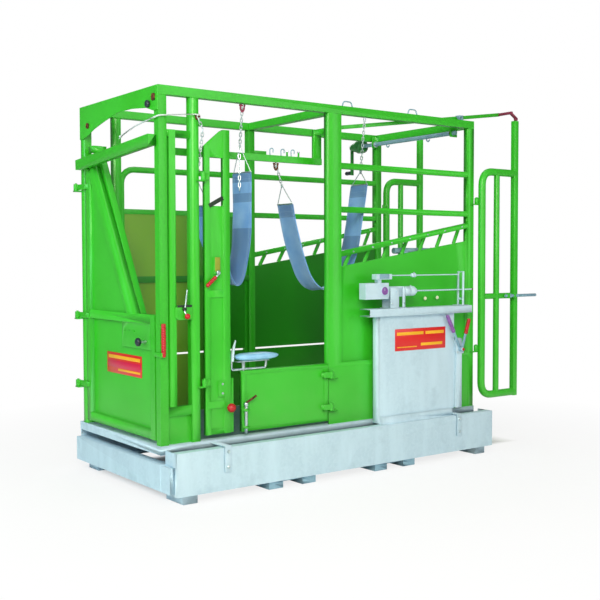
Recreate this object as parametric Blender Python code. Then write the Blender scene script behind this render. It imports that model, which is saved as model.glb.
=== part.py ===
"""Cattle crush on a weighing platform, as separate steel pieces.

Metres, +Z up.  +X runs from the head gate to the rear gates, -Y is the near
side with the weigh column.  Sizes below are counted from the front face of the
green frame and the middle of its width; ORIGIN moves all of it so that the
middle of the floor area is at zero.
"""
import math

import bmesh
import bpy
from mathutils import Matrix, Vector

for leftover in list(bpy.data.objects):
    bpy.data.objects.remove(leftover, do_unlink=True)

# Clearances and common stock
GAP = 0.0003            # between pieces that touch
EMBED = 0.004           # how far a welded piece runs into its neighbour
SHEET = 0.004           # side and gate sheets
FLAT = 0.008            # flat bar brackets
ROUND_SIDES = 14
SMALL_SIDES = 10

# Green frame
FRAME_LENGTH = 2.460
FRAME_WIDTH = 1.020
FRAME_HEIGHT = 1.980
DECK_Z = 0.307
NEAR = -FRAME_WIDTH / 2
FAR = FRAME_WIDTH / 2
TOP_Z = DECK_Z + FRAME_HEIGHT
POST = 0.050
TOP_RAIL = 0.050
SLAT = 0.036            # horizontal rails of the side bays
SECOND_POST_X = 0.202
MID_POST_X = FRAME_LENGTH - 1.282
MID_POST_LENGTH = 0.100
UPPER_SLAT_Z = TOP_Z - 0.369
LOWER_SLAT_Z = TOP_Z - 0.641

# Base and platform
FOOT_HEIGHT = 0.045
BEAM_HEIGHT = 0.240
BEAM_FLANGE = 0.055
FAR_BEAM_FLANGE = 0.044
BEAM_WALL = 0.006
BASE_NEAR_Y = NEAR - 0.145
BASE_FAR_Y = FAR + 0.090
BASE_FRONT_X = -0.014
BASE_REAR_X = FRAME_LENGTH + 0.045
CROSS_BEAM_LOW = 0.060
CROSS_BEAM_HIGH = 0.205
CROSS_BEAM_DEPTH = 0.070
FOOT_XS = (0.057, FRAME_LENGTH - 0.122)
FOOT_LENGTH = 0.090
FOOT_WIDTH = 0.190
FAR_FOOT_Y = (FAR - 0.085, FAR + 0.055)
DECK_EDGE = 0.050
DECK_MARGIN = 0.005
DECK_FAR_MARGIN = 0.045
FLOOR_THICKNESS = 0.006
FORK_SPANS = ((0.630, 0.970), (1.440, 1.780))
FORK_LEG = 0.100
FORK_PAD = 0.190
STRAP_XS = (0.318, FRAME_LENGTH - 0.310)
STRAP_WIDTH = 0.042
STRAP_DROP_Z = 0.148
SHAFT_XS = (0.420, FRAME_LENGTH - 0.400)
SHAFT_Z = 0.150
SHAFT_R = 0.022
PILLAR = 0.036
LEVER_SIZE = 0.032

# Front portal and head gate
FASCIA_THICKNESS = 0.006
FASCIA_EDGE = ((0.460, 0.202), (0.400, 0.187), (0.298, 0.155), (0.184, 0.131), (0.007, 0.099),
               (-0.100, 0.095), (-0.199, 0.096), (-0.381, 0.113), (-0.460, 0.137))
GATE_DEPTH = 0.050
GATE_FAR_Y = FAR - 0.058
GATE_NEAR_Y = NEAR + 0.065
GATE_LOW_Z = 0.330
GATE_STILE = 0.052
GATE_MID_Z = 0.975
GATE_MID_HEIGHT = 0.052
GATE_STILE_TOP = 1.930
GATE_HINGE_X = -0.025
GATE_HINGE_Y = FAR + 0.025
GATE_HINGE_ZS = (0.537, 0.969, 1.770)
HEAD_BAR_DEPTH = 0.048
HEAD_BAR_HEIGHT = 0.060
HEAD_BAR_OFF = 0.004
HEAD_BAR_FAR = (FAR - 0.032, 1.924)
HEAD_BAR_NEAR = (NEAR + 0.024, 1.989)
JAW_WIDTH = 0.075
JAW_TOP = (0.385, 1.900)
JAW_FOOT = (-0.165, 0.990)
YOKE_PIVOT = (-0.219, 0.873)
YOKE_TOP = (0.407, 2.010)
YOKE_WIDTH = 0.056
YOKE_X = (0.056, 0.096)
YOKE_PIN_R = 0.011
PLUNGER = (-0.320, 0.873)
PLUNGER_R = 0.008
SETTING_HOLE_YS = (-0.175, -0.115, -0.056)
LATCH_PIVOT = (0.012, 0.965)

# Near side, front bay
BAY_BAR = 0.040
BAY_BAR_X = 0.066
BAY_TOP_Z = TOP_Z - 0.237
BAY_RAIL_Z = 0.465
WING_LOW_Z = 0.335
WING_FREE_X = 0.455
WING_TOP_Z = 2.072
WING_SHOULDER_Z = 1.910
WING_SHEET_TOP = 1.640
WING_STILE = 0.042
WING_UPRIGHT = 0.034
WING_DEPTH = 0.028
WING_HINGE_X = 0.268
WING_HINGE_Y = NEAR - 0.022
WING_HINGE_ZS = (0.620, 1.780)
DOOR_FREE_X = 0.535
DOOR_TOP_Z = 0.687
DOOR_HINGE_Y = NEAR - 0.022
DOOR_HINGE_ZS = (0.400, 0.600)
BOLT_R = 0.010
BOLT_X = 0.545
REST_PIN = (0.552, NEAR + 0.016)
REST_PIN_R = 0.007
PAD_LENGTH = 0.300
PAD_HEIGHT = 0.046
PAD_DEPTH = 0.110

# Far side
FAR_TUBE_R = 0.020
FAR_TUBE_X = 0.262
FAR_SHEET_TOP = 1.656
FAR_SLIT_Z = 0.700
FAR_SLIT = 0.012
REAR_SHEET_FRONT_Z = 1.287
REAR_SHEET_REAR_Z = 1.459
RACK_FRONT_Z = 1.366
RACK_REAR_Z = 1.566
RACK_BAR = 0.034
RACK_STRUTS = 7

# Rear gates
NEAR_LEAF_AXIS = (FRAME_LENGTH + 0.018, NEAR - 0.010)
FAR_LEAF_AXIS = (FRAME_LENGTH + 0.054, FAR - 0.020)
NEAR_LEAF_REACH = 0.374    # hinge axis to the middle of the end stile
FAR_LEAF_REACH = 0.397
LEAF_OUT = 0.015           # the tubes stand this far outside the hinge axis
LEAF_TUBE_R = 0.026
LEAF_BAR_R = 0.021
LEAF_TUBE_OFF = 0.038
LEAF_BAR_OFF = 0.188
LEAF_STILE = 0.040
LEAF_LOW_Z = 0.377
LEAF_HIGH_Z = TOP_Z - 0.343
LEAF_STILE_TOP = TOP_Z + 0.031
LEAF_MID_Z = 1.072
LEAF_BEND = 0.100
LEAF_HINGE_ZS = (0.690, LEAF_HIGH_Z - 0.227)
HINGE_PIN_R = 0.007
HINGE_EYE_R = 0.015
HINGE_EYE_HEIGHT = 0.040
HINGE_CLEARANCE = 0.0005
SLIDE_CLEARANCE = 0.0005
GATE_BOLT_R = 0.011
GATE_BOLT_X = (NEAR_LEAF_AXIS[0] + 0.256, NEAR_LEAF_AXIS[0] + 0.569)
BOLT_GUIDE_XS = (NEAR_LEAF_AXIS[0] + 0.267, NEAR_LEAF_AXIS[0] + 0.334)
STAY_Y = NEAR + 0.095
STAY_SIZE = 0.024
STAY_PIN_R = 0.007
STAY_PIVOT = (FRAME_LENGTH - 0.080, TOP_Z + 0.026)
STAY_FRONT = (FRAME_LENGTH - 1.160, TOP_Z - 0.125)
STAY_REAR = (FRAME_LENGTH + 0.355, TOP_Z + 0.087)
WIRE_EYE_XS = (FRAME_LENGTH - 1.115, FRAME_LENGTH - 0.560)

# Overhead gear
HOOK_RAIL_Y = NEAR + 0.180
HOOK_RAIL_Z = TOP_Z - 0.335
HOOK_RAIL_HEIGHT = 0.040
MID_BEAM = 0.050
WINCH_SHAFT_R = 0.015
WINCH_SHAFT_X = FRAME_LENGTH - 0.085
WINCH_SHAFT_Z = TOP_Z - 0.075
WINCH_PLATE_YS = (NEAR + 0.122, FAR - 0.070)
WINCH_HUB_Y = (FAR + 0.060, FAR + 0.190)
WINCH_CRANK = 0.215
BELT_THICKNESS = 0.007
CHAIN_WIRE = 0.0045
ROPE_R = 0.003
# A sling's points: x, how far inside the near face, how far below the top; the rear
# sling's x is counted from the middle post's rear edge
FRONT_SLING_WIDTH = 0.170
FRONT_SLING_ACROSS = (-0.120, 0.993, 0.0)
FRONT_SLING = ((0.334, 0.125, 0.647), (0.367, 0.125, 0.767), (0.412, 0.125, 0.877),
               (0.457, 0.125, 0.977), (0.492, 0.125, 1.067), (0.527, 0.125, 1.101),
               (0.562, 0.125, 1.062), (0.588, 0.125, 0.967), (0.610, 0.125, 0.857),
               (0.620, 0.125, 0.667), (0.622, 0.125, 0.442))
REAR_SLING_WIDTH = 0.165
REAR_SLING_ACROSS = (0.0, 1.0, 0.0)
REAR_SLING = ((-0.304, 0.180, 0.615), (-0.284, 0.177, 0.717), (-0.247, 0.172, 0.859),
              (-0.210, 0.167, 0.969), (-0.172, 0.162, 1.057), (-0.118, 0.156, 1.119),
              (-0.048, 0.150, 1.145), (0.032, 0.146, 1.127), (0.097, 0.144, 1.072),
              (0.142, 0.142, 0.987), (0.182, 0.140, 0.877), (0.226, 0.137, 0.657),
              (0.258, 0.135, 0.475))

# Weigh column and steelyard
COLUMN_X = (FRAME_LENGTH - 0.940, FRAME_LENGTH - 0.280)
COLUMN_Y = (NEAR - 0.090, NEAR - 0.020)
COLUMN_TOP_Z = 0.972
PULL_ROD = (COLUMN_X[0] + 0.380, COLUMN_Y[0] + 0.042)
COLUMN_FOOT = 0.045
COLUMN_FOOT_END = FRAME_LENGTH - 0.320
HEAD_CHANNEL_X = (FRAME_LENGTH - 1.050, FRAME_LENGTH - 0.140)
HEAD_CHANNEL_Y = (NEAR - 0.122, NEAR - 0.020)
HEAD_CHANNEL_HEIGHT = 0.048
COLUMN_TUBE_X = FRAME_LENGTH - 0.270
COLUMN_TUBE = 0.050
COLUMN_TUBE_TOP = 0.800
BEAM_Y = NEAR - 0.075
BEAM_PIVOT = (FRAME_LENGTH - 0.820, 1.128)
BEAM_PIN_R = 0.006
LOCK_PIN_R = 0.007
POISE_ROD_Z = 1.128
POISE_ROD_R = 0.005
TARE_ROD_Z = 1.230
TARE_ROD_R = 0.004
LOCK_PIVOT = (FRAME_LENGTH - 0.245, 0.727)
LEFT_LEVER_REACH = (-0.127, 0.233)
RIGHT_LEVER_REACH = (0.069, 0.203)

# What the rest works out to
RAIL_LOW_Z = TOP_Z - TOP_RAIL
BEAM_TOP_Z = FOOT_HEIGHT + BEAM_HEIGHT
REAR_POST_X = FRAME_LENGTH - POST
MID_POST_END = MID_POST_X + MID_POST_LENGTH
ORIGIN = Vector((1.4975, 0.0615, 0.0))

# Finishes, as the photo shows them
FINISHES = {
    "green": ((0.060, 0.470, 0.040), 0.38, 0.0),
    "zinc": ((0.560, 0.680, 0.740), 0.45, 0.75),
    "steel": ((0.600, 0.640, 0.660), 0.30, 1.0),
    "belt": ((0.120, 0.270, 0.520), 0.60, 0.0),
    "pad": ((0.300, 0.540, 0.740), 0.50, 0.0),
    "red": ((0.560, 0.010, 0.012), 0.35, 0.0),
    "grip": ((0.360, 0.140, 0.420), 0.45, 0.0),
    "black": ((0.020, 0.022, 0.025), 0.45, 0.0),
    "rope": ((0.640, 0.700, 0.680), 0.80, 0.0),
}


def solid_from(bm):
    """Turn a filled bmesh into a closed object with its faces outwards."""
    bmesh.ops.recalc_face_normals(bm, faces=bm.faces)
    mesh = bpy.data.meshes.new("stock")
    bm.to_mesh(mesh)
    bm.free()
    obj = bpy.data.objects.new("stock", mesh)
    bpy.context.scene.collection.objects.link(obj)
    return obj


def loft(rings, closed_path=False):
    """Skin a row of equal rings of points; the two ends are capped."""
    bm = bmesh.new()
    rows = [[bm.verts.new(point) for point in ring] for ring in rings]
    count = len(rows[0])
    steps = len(rows) if closed_path else len(rows) - 1
    for index in range(steps):
        a, b = rows[index], rows[(index + 1) % len(rows)]
        for k in range(count):
            bm.faces.new((a[k], a[(k + 1) % count], b[(k + 1) % count], b[k]))
    if not closed_path:
        bm.faces.new(rows[0])
        bm.faces.new(rows[-1])
    return solid_from(bm)


def prism(outline, axis, low, high):
    """Extrude a flat outline along an axis; the outline holds the other two."""
    def place(a, b, t):
        return {"x": (t, a, b), "y": (a, t, b), "z": (a, b, t)}[axis]
    return loft([[place(a, b, t) for a, b in outline] for t in (low, high)])


def box(xs, ys, zs):
    """A block between two limits on each axis."""
    corners = [(xs[0], ys[0]), (xs[1], ys[0]), (xs[1], ys[1]), (xs[0], ys[1])]
    return prism(corners, "z", zs[0], zs[1])


def ring_at(centre, normal, radius, sides, start=0.0):
    """Points of a circle round a direction."""
    normal = Vector(normal).normalized()
    helper = Vector((0, 0, 1)) if abs(normal.z) < 0.9 else Vector((1, 0, 0))
    u = normal.cross(helper).normalized()
    v = normal.cross(u)
    centre = Vector(centre)
    turn = 2 * math.pi / sides
    return [centre + radius * (math.cos(start + k * turn) * u + math.sin(start + k * turn) * v)
            for k in range(sides)]


def rod(start, end, radius, sides=ROUND_SIDES):
    """A round bar between two points."""
    way = Vector(end) - Vector(start)
    return loft([ring_at(point, way, radius, sides) for point in (start, end)])


def turned(start, way, profile, sides=ROUND_SIDES):
    """A lathe shape: (distance along way, radius) pairs from one end to the other."""
    way = Vector(way).normalized()
    return loft([ring_at(Vector(start) + way * along, way, radius, sides)
                 for along, radius in profile])


def ball(centre, radius, sides=SMALL_SIDES):
    """A round knob."""
    rows = 6
    profile = []
    for k in range(rows + 1):
        angle = math.pi * (0.08 + 0.84 * k / rows)
        profile.append((-radius * math.cos(angle), radius * math.sin(angle)))
    return turned(centre, (0, 0, 1), profile, sides)


def flat_between(start, end, width, depth, across):
    """A rectangular bar from start to end: depth along across, width square to it."""
    start, end = Vector(start), Vector(end)
    along = (end - start).normalized()
    across = Vector(across).normalized()
    side = along.cross(across).normalized()
    half_w, half_d = side * width / 2, across * depth / 2
    return loft([[p + half_w + half_d, p - half_w + half_d, p - half_w - half_d, p + half_w - half_d]
                 for p in (start, end)])


def rounded(points, bend, steps=5):
    """Replace the inner corners of a path by arcs."""
    points = [Vector(p) for p in points]
    path = [points[0]]
    for before, corner, after in zip(points, points[1:], points[2:]):
        way_in = (corner - before).normalized()
        way_out = (after - corner).normalized()
        half = way_in.angle(way_out) / 2
        start = corner - way_in * (bend * math.tan(half))
        centre = corner + (way_out - way_in).normalized() * (bend / math.cos(half))
        hinge = way_in.cross(way_out).normalized()
        for k in range(steps + 1):
            path.append(centre + Matrix.Rotation(2 * half * k / steps, 3, hinge) @ (start - centre))
    path.append(points[-1])
    return path


def tube(path, radius, sides=ROUND_SIDES):
    """A round bar along a path; each ring stands square to the path."""
    path = [Vector(p) for p in path]
    rings = []
    reference = None
    for k, point in enumerate(path):
        back = path[max(k - 1, 0)]
        ahead = path[min(k + 1, len(path) - 1)]
        way = (ahead - back).normalized()
        if reference is None:
            helper = Vector((0, 0, 1)) if abs(way.z) < 0.9 else Vector((1, 0, 0))
            reference = way.cross(helper).normalized()
        reference = (reference - way * reference.dot(way)).normalized()
        other = way.cross(reference)
        stretch = 1.0
        if 0 < k < len(path) - 1:
            stretch = 1 / math.cos((point - back).angle(ahead - point) / 2)
        turn = 2 * math.pi / sides
        rings.append([point + radius * stretch * math.cos(j * turn) * reference
                      + radius * stretch * math.sin(j * turn) * other for j in range(sides)])
    return loft(rings)


def belt(path, across, width, thickness):
    """A flat band: path is its middle line, across is the way of its width."""
    path = [Vector(p) for p in path]
    half = Vector(across).normalized() * width / 2
    rings = []
    for k, point in enumerate(path):
        way = (path[min(k + 1, len(path) - 1)] - path[max(k - 1, 0)]).normalized()
        out = way.cross(half).normalized() * thickness / 2
        rings.append([point + half + out, point - half + out, point - half - out, point + half - out])
    return loft(rings)


def curve_through(points, steps):
    """A smooth path through the given points."""
    points = [Vector(p) for p in points]
    points = [2 * points[0] - points[1]] + points + [2 * points[-1] - points[-2]]
    path = []
    for a, b, c, d in zip(points, points[1:], points[2:], points[3:]):
        for k in range(steps):
            t = k / steps
            path.append(0.5 * ((2 * b) + (c - a) * t + (2 * a - 5 * b + 4 * c - d) * t ** 2
                               + (3 * b - a - 3 * c + d) * t ** 3))
    path.append(points[-2])
    return path


def chain(path, wire, link, sides=6):
    """A run of chain drawn as one knotted rod: thick at each link, thin between."""
    path = [Vector(p) for p in path]
    total = sum((b - a).length for a, b in zip(path, path[1:]))
    count = max(4, int(total / link) * 2)
    rings = []
    for k in range(count + 1):
        left = total * k / count
        for a, b in zip(path, path[1:]):
            span = (b - a).length
            if left <= span + 1e-9:
                point, way = a.lerp(b, left / span), b - a
                break
            left -= span
        thick = 0.16 if k == 0 else 1.9 if k % 2 else 1.1
        rings.append(ring_at(point, way, wire * thick, sides))
    return loft(rings)


def make_sling(name, path, across, width, hangers):
    """A belly belt hanging in a loop; each chain runs from a hook to where it splits in two."""
    axis = Vector(hangers[0][0]).lerp(Vector(hangers[1][0]), 0.5)
    across = Vector(across).normalized()
    line = curve_through(path, 3)
    node("belly_sling_" + name, "belt", [belt(line, across, width, BELT_THICKNESS)],
         pivot=axis, smooth=True)
    ends = (line[0], line[-1])
    inwards = (line[1] - line[0], line[-2] - line[-1])
    for side, run, end, inward in zip(("front", "rear"), hangers, ends, inwards):
        run = [Vector(point) for point in run]
        inward = inward.normalized()
        half_bar = across * (width / 2 - 0.006)
        bar = end - inward * 0.0045
        fork = run[-1] + Vector((0, 0, 0.004))
        node("sling_chain_%s_%s" % (name, side), "steel", [
            chain([run[0], run[0] - Vector((0, 0, 0.012))] + run[1:], CHAIN_WIRE, 0.022),
            rod(fork, bar + half_bar, 0.003, 6),
            rod(fork, bar - half_bar, 0.003, 6),
            rod(bar - half_bar * 1.05, bar + half_bar * 1.05, 0.0042, 8)],
            holes=[belt([end - inward * GAP, end + inward * 0.060], across, width + 0.05, 0.03)],
            pivot=axis)


def combine(base, others, operation):
    """Join or cut solids exactly and return the result as one object."""
    for other in others:
        step = base.modifiers.new(operation.lower(), "BOOLEAN")
        step.operation = operation
        step.solver = "EXACT"
        step.object = other
    bpy.context.view_layer.update()
    graph = bpy.context.evaluated_depsgraph_get()
    mesh = bpy.data.meshes.new_from_object(base.evaluated_get(graph))
    result = bpy.data.objects.new("joined", mesh)
    bpy.context.scene.collection.objects.link(result)
    for used in [base] + list(others):
        bpy.data.objects.remove(used, do_unlink=True)
    return result


def tidy(obj):
    """Merge doubled points and drop edges between faces in one plane."""
    bm = bmesh.new()
    bm.from_mesh(obj.data)
    bmesh.ops.remove_doubles(bm, verts=bm.verts, dist=0.00001)
    bmesh.ops.dissolve_limit(bm, angle_limit=math.radians(0.2), verts=bm.verts, edges=bm.edges)
    bmesh.ops.triangulate(bm, faces=bm.faces)
    bm.to_mesh(obj.data)
    bm.free()


def node(name, finish, pieces, holes=(), pivot=None, smooth=False):
    """Weld pieces into one named solid, drill it, and put it in its place."""
    solid = combine(pieces[0], pieces[1:], "UNION") if len(pieces) > 1 else pieces[0]
    if holes:
        solid = combine(solid, holes, "DIFFERENCE")
    tidy(solid)
    solid.name = name
    solid.data.name = name
    colour, roughness, metallic = FINISHES[finish]
    material = bpy.data.materials.new(name + "_finish")
    material.use_nodes = True
    shader = material.node_tree.nodes["Principled BSDF"]
    shader.inputs["Base Color"].default_value = (*colour, 1.0)
    shader.inputs["Roughness"].default_value = roughness
    shader.inputs["Metallic"].default_value = metallic
    solid.data.materials.clear()
    solid.data.materials.append(material)
    for face in solid.data.polygons:
        face.use_smooth = smooth
        face.material_index = 0
    anchor = Vector(pivot) if pivot else Vector((0, 0, 0))
    solid.data.transform(Matrix.Translation(-anchor))
    solid.location = anchor - ORIGIN
    return solid


def channel(xs, ys, zs, wall, open_to, axis):
    """A folded channel along an axis; open_to is -1 or 1 on the other flat axis."""
    a0, a1 = ys if axis == "x" else xs
    z0, z1 = zs
    if open_to > 0:
        outline = [(a0, z0), (a1, z0), (a1, z0 + wall), (a0 + wall, z0 + wall),
                   (a0 + wall, z1 - wall), (a1, z1 - wall), (a1, z1), (a0, z1)]
    else:
        outline = [(a0, z0), (a1, z0), (a1, z1), (a0, z1), (a0, z1 - wall),
                   (a1 - wall, z1 - wall), (a1 - wall, z0 + wall), (a0, z0 + wall)]
    limits = xs if axis == "x" else ys
    return prism(outline, axis, limits[0], limits[1])


def pintle(x, y, z, arms):
    """The fixed half of a hinge: a flat lug with an upright pin."""
    lugs = [box(xs, ys, (z - FLAT, z)) for xs, ys in arms]
    pin = rod((x, y, z - FLAT / 2), (x, y, z + HINGE_EYE_HEIGHT + 0.006), HINGE_PIN_R, SMALL_SIDES)
    return lugs + [pin]


def hinge_eye(x, y, z, arm):
    """The moving half of a hinge: an eye round the pin, and the arm that carries it."""
    low = z + GAP
    high = z + HINGE_EYE_HEIGHT
    solids = [rod((x, y, low), (x, y, high), HINGE_EYE_R, SMALL_SIDES),
              box(*arm, (low + 0.003, high - 0.003))]
    bore = rod((x, y, z - 0.01), (x, y, high + 0.01),
               (HINGE_PIN_R + HINGE_CLEARANCE) / math.cos(math.pi / SMALL_SIDES), SMALL_SIDES)
    return solids, bore


def make_base():
    """Outer weighing base: side beams, cross beams with feet, fork channels."""
    flange_x = (0.018, BASE_REAR_X - 0.004)
    end_wall = BEAM_WALL
    inner_near = BASE_NEAR_Y + 0.130
    zs = (FOOT_HEIGHT, BEAM_TOP_Z)
    near_parts = [channel(flange_x, (BASE_NEAR_Y, BASE_NEAR_Y + BEAM_FLANGE), zs, BEAM_WALL, 1, "x")]
    for x in flange_x:
        low = x if x < 1 else x - end_wall
        near_parts.append(box((low, low + end_wall), (BASE_NEAR_Y + 0.001, inner_near),
                              (FOOT_HEIGHT + 0.001, BEAM_TOP_Z - 0.001)))
    far_parts = [channel(flange_x, (BASE_FAR_Y - FAR_BEAM_FLANGE, BASE_FAR_Y), zs, BEAM_WALL, -1, "x")]
    near_foot_y = (BASE_NEAR_Y + 0.004, BASE_NEAR_Y + 0.004 + FOOT_WIDTH)
    for low_x in FOOT_XS:
        xs = (low_x, low_x + FOOT_LENGTH)
        near_parts.append(box(xs, near_foot_y, (0.0, FOOT_HEIGHT + 0.002)))
        far_parts.append(box(xs, FAR_FOOT_Y, (0.0, FOOT_HEIGHT + 0.002)))
    node("base_near_beam", "zinc", near_parts)
    node("base_far_beam", "zinc", far_parts)

    cross_y = (inner_near + GAP, BASE_FAR_Y - BEAM_WALL - GAP)
    for name, xs, open_to in (
            ("base_front_beam", (BASE_FRONT_X, BASE_FRONT_X + CROSS_BEAM_DEPTH), 1),
            ("base_rear_beam", (BASE_REAR_X - CROSS_BEAM_DEPTH, BASE_REAR_X), -1)):
        parts = [channel(xs, cross_y, (CROSS_BEAM_LOW, CROSS_BEAM_HIGH), BEAM_WALL, open_to, "y")]
        if open_to > 0:
            face = box((xs[0], flange_x[0] - GAP), (BASE_NEAR_Y + 0.024, inner_near + 0.02),
                       (CROSS_BEAM_LOW, CROSS_BEAM_HIGH))
        else:
            face = box((flange_x[1] + GAP, xs[1]), (BASE_NEAR_Y + 0.024, inner_near + 0.02),
                       (CROSS_BEAM_LOW, CROSS_BEAM_HIGH))
        parts.append(face)
        node(name, "zinc", parts)

    for name, (low_x, high_x) in zip(("fork_channel_front", "fork_channel_rear"), FORK_SPANS):
        ys = (BASE_NEAR_Y + 0.012, BASE_FAR_Y - 0.012)
        parts = [box((low_x + 0.010, high_x - 0.010), (ys[0] + 0.002, ys[1] - 0.002),
                     (FOOT_HEIGHT - 0.008, FOOT_HEIGHT - GAP - 0.0002))]
        for leg in ((low_x, low_x + FORK_LEG), (high_x - FORK_LEG, high_x)):
            for pad in ((ys[0], ys[0] + FORK_PAD), (ys[1] - FORK_PAD, ys[1])):
                parts.append(box(leg, pad, (0.0, FOOT_HEIGHT - GAP)))
        node(name, "zinc", parts)


def make_platform():
    """Weighed platform, its floor and the lever work under it."""
    outer_x = (-DECK_MARGIN, FRAME_LENGTH + DECK_MARGIN)
    outer_y = (NEAR - DECK_MARGIN, FAR + DECK_FAR_MARGIN)
    low = DECK_Z - DECK_EDGE
    edge = POST + 0.008
    ring = [
        box(outer_x, (outer_y[0], outer_y[0] + edge), (low, DECK_Z)),
        box(outer_x, (outer_y[1] - edge, outer_y[1]), (low, DECK_Z)),
        box((outer_x[0], outer_x[0] + edge), (outer_y[0] + 0.01, outer_y[1] - 0.01), (low, DECK_Z)),
        box((outer_x[1] - edge, outer_x[1]), (outer_y[0] + 0.01, outer_y[1] - 0.01), (low, DECK_Z)),
    ]
    for x in SHAFT_XS:
        ring.append(box((x - 0.04, x + 0.04), (outer_y[0] + 0.01, outer_y[1] - 0.01),
                        (low, DECK_Z - FLOOR_THICKNESS - GAP)))
    arm_z = (BEAM_TOP_Z + 0.003, BEAM_TOP_Z + 0.010)
    for x in STRAP_XS:
        xs = (x, x + STRAP_WIDTH)
        ring.append(box(xs, (BASE_NEAR_Y - 0.010, outer_y[0] + 0.01), arm_z))
        ring.append(box(xs, (BASE_NEAR_Y - 0.010, BASE_NEAR_Y - 0.003), (STRAP_DROP_Z, arm_z[1] - 0.001)))
    node("platform_frame", "zinc", ring)

    inside = edge - DECK_MARGIN + GAP
    node("floor_plate", "zinc", [
        box((inside, FRAME_LENGTH - inside), (NEAR + inside, outer_y[1] - edge - GAP),
            (DECK_Z - FLOOR_THICKNESS, DECK_Z))])

    reach_near = BASE_NEAR_Y + BEAM_WALL + GAP
    reach_far = BASE_FAR_Y - BEAM_WALL - GAP
    for name, x in zip(("scale_shaft_front", "scale_shaft_rear"), SHAFT_XS):
        shaft = [rod((x, reach_near, SHAFT_Z), (x, reach_far, SHAFT_Z), SHAFT_R, 12)]
        for y in (NEAR + 0.070, FAR - 0.070):
            shaft.append(box((x - PILLAR / 2, x + PILLAR / 2), (y - PILLAR / 2, y + PILLAR / 2),
                             (SHAFT_Z, low - GAP)))
        node(name, "steel", shaft)
    rod_x, rod_y = PULL_ROD
    lever_y = (rod_y - LEVER_SIZE / 2, rod_y + LEVER_SIZE / 2)
    lever_z = SHAFT_Z + SHAFT_R + GAP
    node("transfer_lever", "steel", [
        box((SHAFT_XS[0] - 0.05, SHAFT_XS[1] + 0.05), lever_y, (lever_z, lever_z + LEVER_SIZE))])
    node("pull_rod", "steel", [
        rod((rod_x, rod_y, lever_z + LEVER_SIZE + GAP), (rod_x, rod_y, COLUMN_TOP_Z - 0.080),
            0.008, SMALL_SIDES)])


def make_posts():
    """The upright tubes of the front part, top rails and cross beams."""
    near_y = (NEAR, NEAR + POST)
    far_y = (FAR - POST, FAR)
    post_z = (DECK_Z + GAP, RAIL_LOW_Z - GAP)

    far_front = [box((0, POST), far_y, post_z)]
    for z in GATE_HINGE_ZS:
        far_front += pintle(GATE_HINGE_X, GATE_HINGE_Y, z,
                            [((GATE_HINGE_X - 0.014, 0.030), (FAR - 0.006, GATE_HINGE_Y + 0.014))])
    node("far_front_post", "green", far_front)

    near_second = [box((SECOND_POST_X, SECOND_POST_X + POST), near_y, post_z)]
    for z in WING_HINGE_ZS:
        near_second += pintle(WING_HINGE_X, WING_HINGE_Y, z,
                              [((SECOND_POST_X + POST - 0.020, WING_HINGE_X + 0.012),
                                (WING_HINGE_Y - 0.012, NEAR + 0.006))])
    node("near_second_post", "green", near_second)

    near_rail = [box((0, FRAME_LENGTH), near_y, (RAIL_LOW_Z, TOP_Z))]
    lug_x = (STAY_PIVOT[0] - 0.018, STAY_PIVOT[0] + 0.018)
    near_rail.append(box(lug_x, (NEAR + POST - 0.006, STAY_Y - STAY_SIZE / 2 - GAP),
                         (RAIL_LOW_Z + 0.012, STAY_PIVOT[1] + 0.014)))
    for x in WIRE_EYE_XS:
        y = NEAR + POST / 2
        arch = rounded([(x - 0.045, y, TOP_Z - 0.010), (x - 0.030, y, TOP_Z + 0.034),
                        (x + 0.030, y, TOP_Z + 0.034), (x + 0.045, y, TOP_Z - 0.010)], 0.018, 3)
        near_rail.append(tube(arch, 0.004, 8))
    node("near_top_rail", "green", near_rail,
         holes=[rod((STAY_PIVOT[0], NEAR + POST - 0.020, STAY_PIVOT[1]),
                    (STAY_PIVOT[0], STAY_Y, STAY_PIVOT[1]),
                    (STAY_PIN_R + HINGE_CLEARANCE) / math.cos(math.pi / SMALL_SIDES), SMALL_SIDES)])
    node("far_top_rail", "green", [box((0, FRAME_LENGTH), far_y, (RAIL_LOW_Z, TOP_Z))])

    inner_y = (NEAR + POST + GAP, FAR - POST - GAP)
    edge = [(y, TOP_Z - drop) for y, drop in FASCIA_EDGE]
    outline = [(FAR, TOP_Z - 0.001), (FAR, edge[0][1]), *edge, (NEAR, edge[-1][1]),
               (NEAR, TOP_Z - 0.001)]
    front_x = (-FASCIA_THICKNESS - GAP, -GAP)
    node("front_fascia", "green", [
        prism(outline, "x", *front_x),
        box((front_x[1] - 0.002, POST), inner_y, (RAIL_LOW_Z, TOP_Z - 0.0005))])
    node("mid_cross_beam", "green", [
        box((MID_POST_END - MID_BEAM, MID_POST_END), inner_y, (RAIL_LOW_Z, RAIL_LOW_Z + MID_BEAM))])
    plate_z = (WINCH_SHAFT_Z - 0.026, RAIL_LOW_Z + 0.030)
    rear = [box((REAR_POST_X, FRAME_LENGTH), inner_y, (RAIL_LOW_Z, TOP_Z))]
    for y in WINCH_PLATE_YS:
        rear.append(box((WINCH_SHAFT_X - 0.026, REAR_POST_X + EMBED), (y - 0.004, y + 0.004), plate_z))
    node("rear_cross_beam", "green", rear,
         holes=[rod((WINCH_SHAFT_X, -0.50, WINCH_SHAFT_Z), (WINCH_SHAFT_X, 0.50, WINCH_SHAFT_Z),
                    (WINCH_SHAFT_R + HINGE_CLEARANCE) / math.cos(math.pi / SMALL_SIDES), SMALL_SIDES)])


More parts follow.
